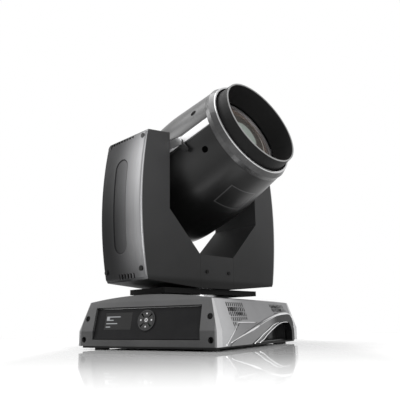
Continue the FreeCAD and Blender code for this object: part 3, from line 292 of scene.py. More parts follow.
# %% Lacquer
FLAKES = 2600
PEEL = 420


def lacquer(dark, bright, rough, metal=0.55):
    def paint(where, put):
        flakes = where.noise(FLAKES, 1.0)
        peel = where.noise(PEEL, 2.0)
        clouds = where.noise(9, 4.0)
        shade = flakes * 0.35 + clouds * 0.65
        put("Base Color", shade.step(0.3, 0.7).mix(grey(dark), grey(bright)))
        put("Roughness", rough + (flakes - 0.5) * 0.12 + (clouds - 0.5) * 0.06)
        put("Metallic", metal)
        put("Coat Weight", 0.15)
        put("Coat Roughness", 0.2)
        put("Normal", bump(peel * 0.7 + flakes * 0.3, 0.00006))
    return paint


print("flakes are", round(1000 / FLAKES, 2), "mm apart")

# %% [markdown]
# The black parts are left as moulded. A grained mould gives a surface of small pits that scatter the
# light, and a polished mould gives gloss with a faint haze. Both are noise at the size of the grain.

# %% Black mouldings
GRAIN = 900


def grained(shade, rough, shine, grain=GRAIN, depth=0.00012):
    def paint(where, put):
        pits = where.noise(grain, 2.0)
        clouds = where.noise(12, 4.0)
        tone = (pits * 0.5 + clouds * 0.5).step(0.3, 0.7)
        put("Base Color", tone.mix(grey(shade * 0.75), grey(shade * 1.3)))
        put("Roughness", rough + (clouds - 0.5) * 0.12)
        put("Specular IOR Level", shine)
        put("Normal", bump(pits, depth))
    return paint


def gloss(shade):
    def paint(where, put):
        haze = where.noise(30, 4.0)
        put("Base Color", haze.mix(grey(shade * 0.8), grey(shade * 1.2)))
        put("Roughness", 0.12 + haze * 0.08)
        put("Coat Weight", 0.5)
        put("Coat Roughness", 0.05)
    return paint


def rubber(where, put):
    dust = where.noise(300, 3.0)
    put("Base Color", dust.mix(grey(0.012), grey(0.03)))
    put("Roughness", 0.75 + dust * 0.15)
    put("Normal", bump(dust, 0.0001))


print("grain is", round(1000 / GRAIN, 2), "mm apart")

# %% [markdown]
# Inside are brushed and plated metals, a green circuit board, a quartz lamp and a cold mirror. Few
# people see them, but a cover can come off. A brushed metal is noise drawn out one way, and a board's
# tracks are a narrow band cut from slow noise, as a contour line is from a map.

# %% Inner finishes
def brushed(shade, rough, stretch=(1, 1, 40)):
    def paint(where, put):
        lines = where.noise(60, 4.0, stretch)
        spots = where.noise(25, 3.0)
        put("Base Color", (lines * 0.6 + spots * 0.4).mix(grey(shade * 0.8), grey(shade * 1.15)))
        put("Roughness", rough + (lines - 0.5) * 0.2)
        put("Metallic", 1.0)
        put("Normal", bump(lines, 0.00003))
    return paint


def board(where, put):
    weave = where.noise(700, 2.0)
    tracks = where.noise(160, 0.0).band(0.47, 0.53, 0.01)
    put("Base Color", tracks.mix((0.012, 0.10, 0.04), (0.03, 0.22, 0.09)))
    put("Roughness", 0.35 + weave * 0.2)


def quartz(where, put):
    haze = where.noise(40, 3.0)
    put("Base Color", haze.mix((0.85, 0.87, 0.86), (0.95, 0.96, 0.95)))
    put("Roughness", 0.05 + haze * 0.05)
    put("Transmission Weight", 0.9)


def mirror(where, put):
    haze = where.noise(40, 3.0)
    put("Base Color", haze.mix((0.75, 0.78, 0.82), (0.9, 0.9, 0.88)))
    put("Roughness", 0.04 + haze * 0.06)
    put("Metallic", 1.0)


print("inner finishes 4")

# %% [markdown]
# The outer arm covers are brushed up their height before they are lacquered. Their run from near
# black at the back edge to silver at the front edge is painted light: lamps alone would draw that run
# only from one side, so it is in the colour, with a painted highlight along the front edge and painted
# shade towards the top and the foot. A long oval is pressed into each cover, and its groove, its inside
# and the vent slots are darkened here as painted shade, at the same sizes as the mesh below cuts them.

# %% Arm cover finish
OVAL_HEIGHT = 0.228
OVAL_STRAIGHT = 0.064
SLOTS_PER_METRE = 130


def arm_cover(where, put):
    """Painted light grows with the square of the way across, and the oval is a distance from a line."""
    x, y, z = where.in_yoke().axes()
    streaks = where.in_yoke().noise(500, 3.0, (1, 1, 0.012))
    clouds = where.noise(14, 4.0)
    forward = y * -1.0
    # Painted light: the cover runs from near black at the back edge to silver at the front edge.
    across = forward.step(-0.062, 0.062)
    light = across * across * (0.55 + 0.45 * across)
    # Painted highlight along the front edge, and painted shade towards the top and the foot.
    front_edge_highlight = forward.step(0.036, 0.050)
    middle = z.band(0.13, 0.345, 0.05)
    shade = (0.18 + 0.82 * middle) * light * (0.8 + streaks * 0.45) + front_edge_highlight * 0.10

    past_straight = (abs(z - OVAL_HEIGHT) - OVAL_STRAIGHT).most(0.0)
    reach = distance(past_straight, y)
    groove = reach.band(0.0150, 0.0168, 0.0006)
    inside = 1.0 - reach.step(0.0145, 0.0155)
    # Painted shade in the groove and inside the oval.
    tone = shade * (1.0 - groove * 0.75) * (1.0 - inside * 0.35)
    cover = tone.mix((0.004, 0.004, 0.0045), (0.26, 0.26, 0.265))

    # Painted shade: the vent slots are painted near black.
    foot = z.band(0.1080, 0.1150, 0.0006) * y.band(-0.028, 0.011, 0.001)
    top = z.step(0.3445, 0.3455) * y.band(-0.022, 0.046, 0.001)
    slots = (foot + top) * (y * SLOTS_PER_METRE).fraction().band(0.25, 0.75, 0.06)
    put("Base Color", slots.mix(cover, (0.003, 0.003, 0.003)))
    put("Roughness", 0.44 + (streaks - 0.5) * 0.2 + (clouds - 0.5) * 0.08 + groove * 0.2)
    put("Metallic", 0.75)
    put("Specular IOR Level", 0.2)
    put("Normal", bump(streaks * 0.05 + (1.0 - groove) * 0.4, 0.0006))


print("slots", round(1000 / SLOTS_PER_METRE, 1), "mm apart")

# %% [markdown]
# The base cover breathes through two grilles in each side: one behind the display, over a raised
# step, and one over the handle. Their short upright slots stand in rows, each shifted by half a slot
# like bricks. Hundreds of cut slots would cost many triangles, so they are sunk by a bump and their
# dark is painted shade. The side also has painted shade under the step's edge, and it is painted
# paler towards the front, as painted light.

# %% Base cover finish
CREASE = 0.026
GRILLE_ROW = 0.0075
GRILLE_SLOT = 0.0068


def grille(along, up, low, high, bottom, top, slant):
    """1 inside the slots: the fractions of row and column, between two ends that lean."""
    row = up / GRILLE_ROW
    column = along / GRILLE_SLOT + row.floor() * 0.5
    slot = column.fraction().band(0.2, 0.74, 0.05) * row.fraction().band(0.13, 0.95, 0.05)
    ends = (along - (top - up) * slant).band(low, high, 0.0004)
    heights = (up - bottom).step(0.0, 0.0006) * (1.0 - up.step(top, top + 0.0006))
    return slot * ends * heights


def base_cover(where, put):
    """Both grilles with painted shade in their slots, painted shade under the step's edge, and painted
    light that pales the lacquer to the front.
    """
    x, y, z = where.axes()
    side = abs(x).step(0.112, 0.114)
    over_step = (0.0235 + (y + 0.1055) * 0.52).least(0.0405)
    over_handle = 0.0495 + (y - 0.073) * 0.10
    first = grille(y, z, -0.1156, -0.0564, over_step, 0.067, 0.27)
    second = grille(y, z, 0.052, 0.1185, over_handle, 0.067, 1.1)
    # Painted shade: the grille slots are painted near black.
    cut = (first + second) * side
    flakes = where.noise(FLAKES, 1.0)
    clouds = where.noise(10, 4.0)
    # Painted light: the cover is paler towards the front.
    front = 1.0 - y.step(-0.15, -0.05)
    tone = clouds * 0.35 + flakes * 0.15 + front * 0.45
    # Painted shade under the step's edge.
    above_step = z - 0.0358 - (y + 0.0905).least(0.0) * 0.74
    under = (1.0 - above_step.step(-0.0004, 0.0004)) * side * y.band(-0.135, -0.015, 0.002)
    cover = (tone * (1.0 - under * 0.5)).mix((0.085, 0.085, 0.088), (0.52, 0.52, 0.53))
    put("Base Color", cut.mix(cover, (0.006, 0.006, 0.006)))
    put("Roughness", 0.33 + (flakes - 0.5) * 0.12 + cut * 0.3)
    put("Metallic", 0.6)
    put("Coat Weight", 0.2)
    put("Coat Roughness", 0.15)
    put("Normal", bump(1.0 - cut, 0.0012))


print("grille rows", GRILLE_ROW * 1000, "mm, slots", GRILLE_SLOT * 1000, "mm")

# %% [markdown]
# A trim frames each end of the base. Its moulded corners catch the light, so its outer side, the edge
# beside it and the top lip are painted paler than its face, as painted highlights, and its foot below
# the crease is painted darker, as painted shade. Each is a step on a distance from the middle. The
# sides lean in above the crease, so height is taken off that distance at the same slope.

# %% Trim finish
def trim_finish(where, put):
    x, y, z = where.axes()
    flakes = where.noise(FLAKES, 1.0)
    clouds = where.noise(10, 4.0)
    over_crease = (z - CREASE).most(0.0)
    # Painted highlights on the outer side, the edge beside it and the top lip.
    outside = (abs(x) + over_crease * 0.2826).step(0.1286, 0.1293)
    edge = abs(x).step(0.1240, 0.1275)
    lip = (abs(y) + over_crease * 0.2283).band(0.1608, 0.1622, 0.0004) * z.step(0.070, 0.073)
    # Painted shade: the foot below the crease is darker.
    foot = 1.0 - z.step(0.0245, 0.0275)
    tone = 0.02 + clouds * 0.13 + flakes * 0.06 + outside * 0.85 + lip * 0.7 + edge * 0.25 - foot * 0.08
    put("Base Color", tone.mix(grey(0.028), grey(0.50)))
    put("Roughness", 0.33 + (flakes - 0.5) * 0.12)
    put("Metallic", 0.55)
    put("Coat Weight", 0.25)
    put("Coat Roughness", 0.15)
    put("Normal", bump(flakes, 0.00004))


print("crease", CREASE * 1000, "mm up")

# %% [markdown]
# The barrel is sprayed like the covers, but hardly any light reaches its underside, so the underside
# is painted darker and the upper side lighter, as painted shade and light. It is palest near the side
# rails towards the tail, as a painted highlight. A screw recess and an engraved, empty plate are drawn
# in polar terms: the angle round the beam and the height along it. The recess is painted near black as
# painted shade, and it also loses its coat and becomes a black metal that reflects nothing, because a
# dark spot under gloss still looks painted on.

# %% Barrel finish
SCREW_ANGLE = 0.4014
SCREW_HEIGHT = 0.112
BARREL_RADIUS = 0.0995


def barrel(low, high):
    def paint(where, put):
        x, y, z = where.in_head().axes()
        streaks = where.in_head().noise(160, 3.0, (1, 1, 0.25))
        clouds = where.noise(16, 4.0)
        # Painted light and shade: lighter on the upper side, more so towards the mouth, and darker
        # underneath.
        upper = y.step(-0.06, 0.075) * (0.5 + 0.5 * z.step(0.02, 0.13))
        turn = y.angle(x)
        plate = turn.band(-1.972, -1.344, 0.004) * z.band(0.058, 0.104, 0.0003)
        inner = turn.band(-1.950, -1.366, 0.004) * z.band(0.0598, 0.1022, 0.0003)
        engraved = plate - inner
        lift = abs(y.angle(abs(x))) - SCREW_ANGLE
        # Painted shade: the screw recess is painted near black.
        hole = 1.0 - distance(lift * BARREL_RADIUS, z - SCREW_HEIGHT).step(0.0052, 0.0060)
        # Painted highlight: palest near the side rails towards the tail.
        by_rail = lift.step(-0.42, -0.10) * (1.0 - lift.step(-0.10, 0.25)) * (1.0 - z.step(0.03, 0.14))
        grain = (streaks - 0.5) * 0.08 + (clouds - 0.5) * 0.1
        shade = 0.08 + by_rail * 0.9 + upper * 0.85 + grain + engraved * 0.9
        put("Base Color", hole.mix(shade.mix(grey(low), grey(high)), grey(0.0015)))
        put("Roughness", 0.30 + (streaks - 0.5) * 0.06 + (clouds - 0.5) * 0.06 + hole * 0.5)
        put("Metallic", 0.65 + hole * 0.35 - engraved * 0.5)
        put("Coat Weight", (1.0 - hole) * 0.14)
        put("Coat Roughness", 0.25)
        put("Normal", bump((1.0 - hole) * 0.9 - engraved * 0.1, 0.0012))
    return paint


print("screws", round(math.degrees(SCREW_ANGLE)), "degrees from the rails")

# %% [markdown]
# The yoke's inner covers are darker and duller than the outer ones, and painted almost black
# underneath as painted shade, darker towards the bottom. The ring at the barrel's mouth is the
# opposite: dark metal with a paler lip. The hood is matt inside, so that no stray light leaves it,
# and only its rim is paler.

# %% Yoke, ring and hood finishes
def yoke_cover(where, put):
    x, y, z = where.in_yoke().axes()
    pores = where.noise(1500, 2.0)
    clouds = where.noise(8, 4.0)
    # Painted shade: the covers are almost black underneath and darker towards the bottom.
    lit = z.step(0.1035, 0.1130)
    fade = 0.35 + 0.65 * z.step(0.10, 0.34)
    tone = lit * (fade * 0.7 + (clouds - 0.5) * 0.3 + (pores - 0.5) * 0.2)
    put("Base Color", tone.mix((0.002, 0.002, 0.002), (0.046, 0.046, 0.047)))
    put("Roughness", 0.5 + (pores - 0.5) * 0.15)
    put("Specular IOR Level", 0.22)
    put("Normal", bump(pores, 0.00008))


def ring_cover(where, put):
    x, y, z = where.in_head().axes()
    flakes = where.noise(FLAKES, 1.0)
    streaks = where.in_head().noise(200, 3.0, (1, 1, 0.1))
    lip = z.step(0.1562, 0.1575)
    tone = 0.05 + (streaks - 0.5) * 0.05 + lip * 0.75
    put("Base Color", tone.mix(grey(0.022), grey(0.75)))
    put("Roughness", 0.28 + (flakes - 0.5) * 0.1)
    put("Metallic", 0.8)
    put("Coat Weight", 0.2)
    put("Normal", bump(flakes, 0.00004))


def hood_finish(where, put):
    x, y, z = where.in_head().axes()
    pores = where.noise(1300, 2.0)
    rim = z.step(0.1783, 0.1792)
    put("Base Color", (rim * 0.95 + pores * 0.05).mix((0.003, 0.003, 0.003), (0.22, 0.22, 0.22)))
    put("Roughness", 0.5 + (pores - 0.5) * 0.2)
    put("Specular IOR Level", 0.11)
    put("Normal", bump(pores, 0.00016))


print("yoke, ring and hood finishes 3")

# %% [markdown]
# Looking into the lens, one sees a pale reflection in the middle, the dim bowl of the reflector, an
# amber ring that the coating throws back, a bright arc on one side of the edge, and the dark seat of
# the glass. Real glass over those parts would need many light bounces to show as much, so they are
# rings of colour under a clear coat, which still gives the glass its shine: the pale middle and the
# amber ring are painted reflections, and the bright arc is a painted highlight.

# %% Lens finish
def lens_finish(where, put):
    """Rings on the distance from the beam, which a little noise bends out of round."""
    x, y, z = where.in_head().axes()
    reach = distance(x, y) + (where.noise(18, 2.0) - 0.5) * 0.006
    # Painted reflection: the pale middle, with the dim bowl round it.
    centre_reflection_and_bowl = reach.step(0.026, 0.031).mix((0.30, 0.34, 0.31), (0.085, 0.078, 0.070))
    # Painted reflection: the amber ring that the coating throws back.
    amber = reach.band(0.050, 0.064, 0.006).mix(centre_reflection_and_bowl, (0.16, 0.125, 0.105))
    # Painted highlight: a bright arc at the lens edge on one side.
    bright_side = (x - y).step(0.020, 0.050)
    edge_highlight = (reach.band(0.0500, 0.0530, 0.0005) * bright_side).mix(amber, (0.42, 0.40, 0.38))
    put("Base Color", reach.step(0.060, 0.066).mix(edge_highlight, (0.030, 0.016, 0.014)))
    put("Roughness", 0.06 + reach * 0.4)
    put("Metallic", 0.1)
    put("Coat Weight", 1.0)
    put("Coat Roughness", 0.02)


print("lens rings 4")

# %% [markdown]
# The control panel is smoked gloss with a lit display and a round pad of five keys. The display
# carries plain bars of light, no words. Each arrow key has a pale mark and the middle key has a small
# ring, all drawn by their distance from the pad's centre.

# %% Control panel finishes
PAD_X = 0.0016
PAD_Z = 0.0424
SCREEN_LEFT = -0.0785
SCREEN_ROW = 0.0052


def panel_finish(where, put):
    x, y, z = where.axes()
    haze = where.noise(40, 4.0)
    pores = where.noise(1500, 2.0)
    ring = distance(x - PAD_X, (z - PAD_Z) * 1.0247).band(0.0145, 0.0158, 0.0003)
    put("Base Color", ring.mix(haze.mix((0.005, 0.005, 0.0055), (0.011, 0.011, 0.0115)), grey(0.05)))
    put("Roughness", 0.3 + haze * 0.15 + pores * 0.05)
    put("Specular IOR Level", 0.12)
    put("Normal", bump(pores, 0.00002))


def display(where, put):
    """A bar in each row: its length is the fraction of the row's number times 0.61."""
    x, y, z = where.axes()
    row = (z - 0.030) / SCREEN_ROW
    along = x - SCREEN_LEFT
    length = 0.0093 + 0.022 * (row.floor() * 0.61).fraction()
    across = along.step(0.0, 0.0004) * (1.0 - (along - length).step(0.0, 0.0004))
    bars = row.fraction().band(0.35, 0.62, 0.05) * across * z.band(0.031, 0.052, 0.0004)
    block = along.band(0.0, 0.006, 0.0003) * z.band(0.0435, 0.0485, 0.0003)
    put("Base Color", where.noise(60, 2.0).mix(grey(0.003), grey(0.006)))
    put("Roughness", 0.12 + where.noise(90, 3.0) * 0.08)
    put("Emission Color", bars.most(block).mix((0.0, 0.0, 0.0), (0.62, 0.64, 0.66)))
    put("Emission Strength", 0.55)


def keys(where, put):
    x, y, z = where.axes()
    across = x - PAD_X
    up = (z - PAD_Z) * 1.02
    reach = distance(across, up)
    off_axis = abs(across).least(abs(up)).step(0.0009, 0.0013)
    marks = reach.band(0.0090, 0.0112, 0.0003) * (1.0 - off_axis)
    middle = reach.band(0.0016, 0.0028, 0.0003)
    pores = where.noise(1200, 2.0)
    put("Base Color", (marks + middle).mix(pores.mix(grey(0.012), grey(0.024)), grey(0.55)))
    put("Roughness", 0.32 + (pores - 0.5) * 0.12)
    put("Normal", bump(pores, 0.00004))


print("pad centre", PAD_X, PAD_Z)

# %% [markdown]
# Each handle is one moulding that runs from satin grey at the front to gloss black where the fingers
# go in. The recess behind it is black with one soft gleam, a painted highlight. The rails down the
# barrel's sides are the palest part of the light: a bright bead between two dark edges.

# %% Handle and rail finishes
def handle_finish(where, put):
    x, y, z = where.axes()
    pores = where.noise(1300, 2.0)
    back = y.step(0.015, 0.065)
    satin = pores.mix(grey(0.16), grey(0.22))
    put("Base Color", back.mix(satin, pores.mix(grey(0.004), grey(0.01))))
    put("Roughness", 0.42 - back * 0.22 + (pores - 0.5) * 0.1)
    put("Metallic", 0.45 * (1.0 - back))
    put("Specular IOR Level", 0.12)
    put("Normal", bump(pores, 0.00004))


def recess_finish(where, put):
    x, y, z = where.axes()
    haze = where.noise(50, 3.0)
    # Painted highlight: one soft gleam on the recess.
    painted_gleam = y.band(0.092, 0.112, 0.006) * z.band(0.006, 0.040, 0.004)
    put("Base Color", painted_gleam.mix(haze.mix(grey(0.004), grey(0.01)), grey(0.09)))
    put("Roughness", 0.25 + haze * 0.15)
    put("Coat Weight", 0.2)


def rails(where, put):
    x, y, z = where.in_head().axes()
    bead = y.band(-0.0068, 0.0068, 0.0004)
    streaks = where.in_head().noise(300, 3.0, (1, 1, 0.02))
    put("Base Color", (bead * (0.85 + streaks * 0.3)).mix(grey(0.02), grey(0.74)))
    put("Roughness", 0.38 + (streaks - 0.5) * 0.1)
    put("Metallic", bead * 0.35)
    put("Normal", bump(bead * 0.9 + streaks * 0.1, 0.0006))


print("handle and rail finishes 3")

# %% [markdown]
# Each node's record names a material slot, so most nodes take the finish of their slot. The pieces
# that people see most have one of their own. Both lists are short dictionaries, and one loop hands
# the finishes out, so no node is missed.

# %% Hand out the finishes
SLOT_FINISH = {
    "grey_cover": material("Charcoal lacquer", lacquer(0.10, 0.15, 0.36)),
    "dark_cover": material("Dark grained cover", lacquer(0.045, 0.07, 0.42, 0.3)),
    "black_plastic": material("Black grained moulding", grained(0.012, 0.5, 0.25)),
    "gloss_black": material("Gloss black", gloss(0.012)),
    "rail_metal": material("Pale satin rail", brushed(0.72, 0.33)),
    "sheet_steel": material("Zinc-plated sheet", brushed(0.5, 0.4, None)),
    "machined": material("Turned aluminium", brushed(0.7, 0.25)),
    "bearing_steel": material("Ground steel", brushed(0.6, 0.2)),
    "screw_black": material("Black-oxide screws", grained(0.003, 0.35, 0.15, 500, 0.00005)),
    "motor": material("Motor casing", lacquer(0.02, 0.04, 0.4)),
    "supply": material("Supply casing", brushed(0.55, 0.4)),
    "board": material("Green board", board),
    "rubber_black": material("Black rubber", rubber),
    "lens_glass": material("Lens glass", quartz),
    "window": material("Smoked window", gloss(0.004)),
    "quartz": material("Clear quartz", quartz),
    "mirror": material("Cold mirror", mirror),
    "wheel": material("Thin disc", brushed(0.45, 0.3)),
}
ARM_COVER = material("Brushed arm cover", arm_cover)
UPPER_BARREL = material("Upper barrel", barrel(0.010, 0.032))
LOWER_BARREL = material("Lower barrel", barrel(0.008, 0.035))
OWN_FINISH = (
    ("arm_cover_left arm_cover_right", ARM_COVER),
    ("base_cover", material("Base cover with grilles", base_cover)),
    ("front_trim rear_trim", material("Trim lacquer", trim_finish)),
    ("head_shell_upper", UPPER_BARREL),
    ("head_shell_lower", LOWER_BARREL),
    ("arm_shell_left arm_shell_right centre_covers", material("Yoke cover", yoke_cover)),
    ("front_ring", material("Ring lacquer", ring_cover)),
    ("lens_hood", material("Hood", hood_finish)),
    ("front_lens", material("Coated lens", lens_finish)),
    ("control_panel", material("Panel gloss", panel_finish)),
    ("display_window", material("Lit display", display)),
    ("up_key down_key left_key right_key enter_key", material("Key tops", keys)),
    ("handle_left handle_right", material("Handle finish", handle_finish)),
    ("handle_recesses", material("Recess gloss", recess_finish)),
    ("side_rails", material("Side rails", rails)),
    ("base_plate", material("Coated base plate", grained(0.01, 0.6, 0.2))),
    ("yoke_skirt", material("Skirt", grained(0.004, 0.6, 0.12))),
)
NODE_FINISH = {name: finish for names, finish in OWN_FINISH for name in names.split()}

for subpart in frame["record"]["subparts"]:
    node = frame["nodes"][subpart["node"]]
    node.data.materials.clear()
    node.data.materials.append(NODE_FINISH.get(subpart["node"], SLOT_FINISH[subpart["material_slot"]]))
print("materials", len(SLOT_FINISH) + len(OWN_FINISH))

# %% [markdown]
# The base's sides carry bright metal lines that flow over the handle. Each is a thin bar, bent along
# the side. A few points give its route. A smooth curve through them could be a Blender curve object,
# but worked out here it can also be pressed onto the side, which leans in above the crease.

# %% Curves and bars
def flowing(points, steps):
    """A Catmull-Rom curve: each span is a cubic whose end slopes follow the points either side."""
    points = np.array(points, float)
    before = 2 * points[:1] - points[1:2]
    after = 2 * points[-1:] - points[-2:-1]
    a, b, c, d = (np.concatenate([before, points, after])[k:k + len(points) - 1, None] for k in range(4))
    t = np.linspace(0, 1, steps, endpoint=False)[None, :, None]
    bend = 2 * a - 5 * b + 4 * c - d
    twist = 3 * b - a - 3 * c + d
    spans = 0.5 * (2 * b + (c - a) * t + bend * t ** 2 + twist * t ** 3)
    return np.concatenate([spans.reshape(-1, points.shape[1]), points[-1:]])


def unit(vectors):
    """Vectors divided by their own lengths."""
    return vectors / np.linalg.norm(vectors, axis=1)[:, None]


def bar(path, radius, sides=12):
    """Rings round a path: cosine and sine carry two vectors that stand square to its slope."""
    way = unit(np.gradient(path, axis=0))
    reference = np.array([1.0, 0, 0]) if abs(way[0, 0]) < 0.9 else np.array([0, 0, 1.0])
    first = unit(np.cross(way, reference))
    second = np.cross(first, way)
    angle = np.linspace(0, 2 * math.pi, sides, endpoint=False)[None, :, None]
    ring = np.cos(angle) * first[:, None] + np.sin(angle) * second[:, None]
    return path[:, None] + ring * np.broadcast_to(radius, len(path))[:, None, None]


print("a curve through 3 points in 10 steps has", len(flowing(np.eye(3), 10)), "points")

# %% [markdown]
# Each side has four lines. The ridge runs over the handle, and swells and thins as it goes. The upper
# and lower lines go round the finger recess, with a dark band between them that is painted shade in
# the gap, and the step line edges the raised step in front. The points are places on the side, as
# (along Y, up Z).

# %% Side lines
SIDE_HALF = 0.130
SIDE_LEAN = 0.013
SIDE_RISE = 0.046
RIDGE = [(-0.120, 0.0085), (-0.078, 0.0177), (-0.036, 0.0267), (0.006, 0.0366), (0.043, 0.0440),
         (0.077, 0.0494), (0.108, 0.0508), (0.132, 0.0480), (0.147, 0.0410), (0.155, 0.0330)]
UPPER = [(-0.040, 0.0040), (-0.0217, 0.0099), (-0.0045, 0.0165), (0.018, 0.0233), (0.041, 0.0304),
         (0.065, 0.0353), (0.091, 0.0387), (0.111, 0.0395), (0.132, 0.0370), (0.146, 0.0300)]
LOWER = [(-0.019, 0.0040), (-0.001, 0.0091), (0.017, 0.0167), (0.040, 0.0245), (0.065, 0.0310),
         (0.085, 0.0350), (0.111, 0.0362), (0.130, 0.0335), (0.144, 0.0260)]
STEP = [(-0.1360, 0.0042), (-0.1200, 0.0160), (-0.0945, 0.0350), (-0.0900, 0.0362),
        (-0.0690, 0.0366), (-0.0220, 0.0360)]


def side_x(height):
    """How far out the side is: upright to the crease, then leaning in at an even slope."""
    return SIDE_HALF - SIDE_LEAN * np.clip((height - CREASE) / SIDE_RISE, 0, 1)


def on_side(points, steps, sign, proud, least=0.0):
    """A smooth curve through the points, on the left (-1) or right (1) side, standing proud of it."""
    curve = flowing(points, steps)
    x = np.maximum(side_x(curve[:, 1]), least) + proud
    return np.stack([sign * x, curve[:, 0], curve[:, 1]], 1)


def resampled(path, count):
    """The path again with so many points, by straight lines between its own."""
    share = np.linspace(0, 1, len(path))
    return np.stack([np.interp(np.linspace(0, 1, count), share, axis) for axis in path.T], 1)


strip_metal = material("Bright strip", brushed(0.85, 0.2, (1, 0.05, 1)))
# Painted shade: gloss black for the dark bands that fill gaps beside the strips and above the panel.
gap_shade_black = material("Strip gap shade", gloss(0.008))
HANDLE_OUT = 0.1285
for side, sign in (("right", 1), ("left", -1)):
    ridge = on_side(RIDGE, 10, sign, 0.0002, HANDLE_OUT)
    upper = on_side(UPPER, 10, sign, 0.0010, HANDLE_OUT)
    lower = on_side(LOWER, 10, sign, 0.0004, HANDLE_OUT)
    step = on_side(STEP, 6, sign, 0.0002)
    swell = smooth(-0.12, 0.0, ridge[:, 1]) * (1 - smooth(0.130, 0.156, ridge[:, 1]) * 1.25)
    piece("strip_ridge_" + side, bar(ridge, 0.0007 + 0.0017 * swell), strip_metal, "base")
    piece("strip_upper_" + side, bar(upper, 0.00115), strip_metal, "base")
    piece("strip_lower_" + side, bar(lower, 0.00105), strip_metal, "base")
    piece("strip_step_" + side, bar(step, 0.0008), strip_metal, "base")
    top = resampled(upper, 80)
    bottom = resampled(lower, 80)
    outer = np.array([sign * 0.0009, 0, 0])
    inner = np.array([sign * 0.005, 0, 0])
    # Painted shade: a dark band set into the gap between the upper and lower lines.
    rim = np.stack([top - outer, bottom - outer, bottom - inner, top - inner], 1)
    piece("strip_gap_shade_" + side, rim, gap_shade_black, "base", 40)
print("strips", 8, "gap shades", 2)

# %% [markdown]
# A straight black bar fills the gap between the control panel's top edge and the trim, as painted
# shade: the gap shows only shade. Without it, light from behind the panel would show there as a bright
# line.

# %% Panel gap shade
GAP_BAR_HALF = 0.1003
# Painted shade: a black bar stands for the shade in the gap.
gap_bar = [(across, -0.1508, 0.0614) for across in (-GAP_BAR_HALF, 0.0, GAP_BAR_HALF)]
piece("panel_gap_shade", bar(flowing(gap_bar, 4), 0.0017), gap_shade_black, "base")
print("gap_bar", GAP_BAR_HALF * 2, "m long")

# %% [markdown]
# The barrel is two moulded half shells that meet at the side rails. Its outline is straight towards
# the mouth, full in the middle and rounds in to the tail. A turned solid would need arcs for that
# outline. Here a smooth curve through a few points, with its wall, is swept round the beam.

# %% Barrel halves
OUTLINE = [(0.0958, 0.1393), (0.0994, 0.1120), (0.1040, 0.0776), (0.1074, 0.0500), (0.1086, 0.0250),
           (0.1088, -0.0100), (0.1083, -0.0450), (0.1060, -0.0700), (0.0998, -0.0920),
           (0.0868, -0.1120), (0.0700, -0.1280)]
BARREL_WALL = 0.003
HALF_SPAN = 83.9


def swept(section, centre, half, steps):
    """An outline of (radius, height) at each angle about Z: cosine and sine carry the radius."""
    angle = np.radians(np.linspace(centre - half, centre + half, steps))[:, None]
    radius, height = section.T
    flat = height + 0 * angle
    return np.stack([radius * np.cos(angle), radius * np.sin(angle), flat], -1)


outer = flowing(OUTLINE, 12)
slope = unit(np.gradient(outer, axis=0))
inner = outer + BARREL_WALL * np.stack([slope[:, 1], -slope[:, 0]], 1)
inner[[0, -1], 1] = outer[[0, -1], 1]
wall = np.concatenate([outer, inner[::-1]])
for name, centre, finish in (("upper", 90, UPPER_BARREL), ("lower", 270, LOWER_BARREL)):
    rings = head_space(swept(wall, centre, HALF_SPAN, 120))
    made = piece("barrel_" + name, rings, finish, "head", 35)
    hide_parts("head_shell_" + name)
print("barrel", len(wall), "points round the wall")

# %% [markdown]
# Each arm's outer cover is a bowed sheet, fullest half way up, with rounded edges. A long oval is
# pressed into it, and short vent slots cross its top edge and its foot. Cutting those from a sheet
# leaves hard edges. So the sheet is a grid over its face, and every hollow is a depth taken off the
# bow, which keeps all of them soft. The back is two points a row.

# %% Arm covers
COVER_HALF = 0.0548
EDGE_RADIUS = 0.003


def cover_rings(rows, columns):
    """The right arm's cover in yoke axes: a bowed line up the arm, less a depth for each hollow."""
    up = np.linspace(0, 1, rows)
    bow = 0.0120 * (1 - (2 * up - 1) ** 2)
    back = np.stack([0.1572 + 0.0030 * up + bow, 0.1040 + 0.2480 * up], 1)
    front = back + np.stack([0.0058 - 0.0010 * up, (0.5 - up) * 0.0060], 1)
    spread = np.linspace(-1, 1, columns)
    y = COVER_HALF * np.sign(spread) * np.abs(spread) ** 0.85
    z = front[:, 1:] + 0 * y

    past_side = np.maximum(np.abs(y) - 0.0518, 0)
    past_end = np.maximum(np.maximum(0.1095 - z, z - 0.3465), 0)
    round_off = EDGE_RADIUS - np.sqrt(np.maximum(EDGE_RADIUS ** 2 - past_side ** 2 - past_end ** 2, 0))
    crown = 0.0012 * (np.abs(y) / 0.055) ** 2
    reach = np.hypot(y, np.maximum(np.abs(z - OVAL_HEIGHT) - OVAL_STRAIGHT, 0))
    oval = 0.0009 * (1 - smooth(0.0148, 0.0166, reach))

    turn = np.mod(y * SLOTS_PER_METRE, 1)
    wave = smooth(0.18, 0.32, turn) * (1 - smooth(0.68, 0.82, turn))
    top = smooth(0.3435, 0.3450, z) * smooth(-0.023, -0.021, y) * (1 - smooth(0.044, 0.046, y))
    foot = smooth(0.1075, 0.1085, z) * (1 - smooth(0.1145, 0.1155, z))
    foot = foot * smooth(-0.029, -0.027, y) * (1 - smooth(0.010, 0.012, y))
    depth = round_off + crown + oval + 0.0026 * (top + foot) * wave

    face = np.stack([front[:, :1] - depth, y + 0 * z, z], -1)
    rear = [np.stack([back[:, 0], edge + 0 * up, back[:, 1]], -1) for edge in (COVER_HALF, -COVER_HALF)]
    return np.concatenate([face, np.stack(rear, 1)], 1)


for name, sign in (("left", -1), ("right", 1)):
    rings = yoke_space(cover_rings(220, 170) * np.array([sign, -sign, 1]))
    made = piece("bowed_cover_" + name, rings, ARM_COVER, "yoke", 50)
    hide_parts("arm_cover_" + name)
print("covers", rings.shape[0], "rings of", rings.shape[1], "points")

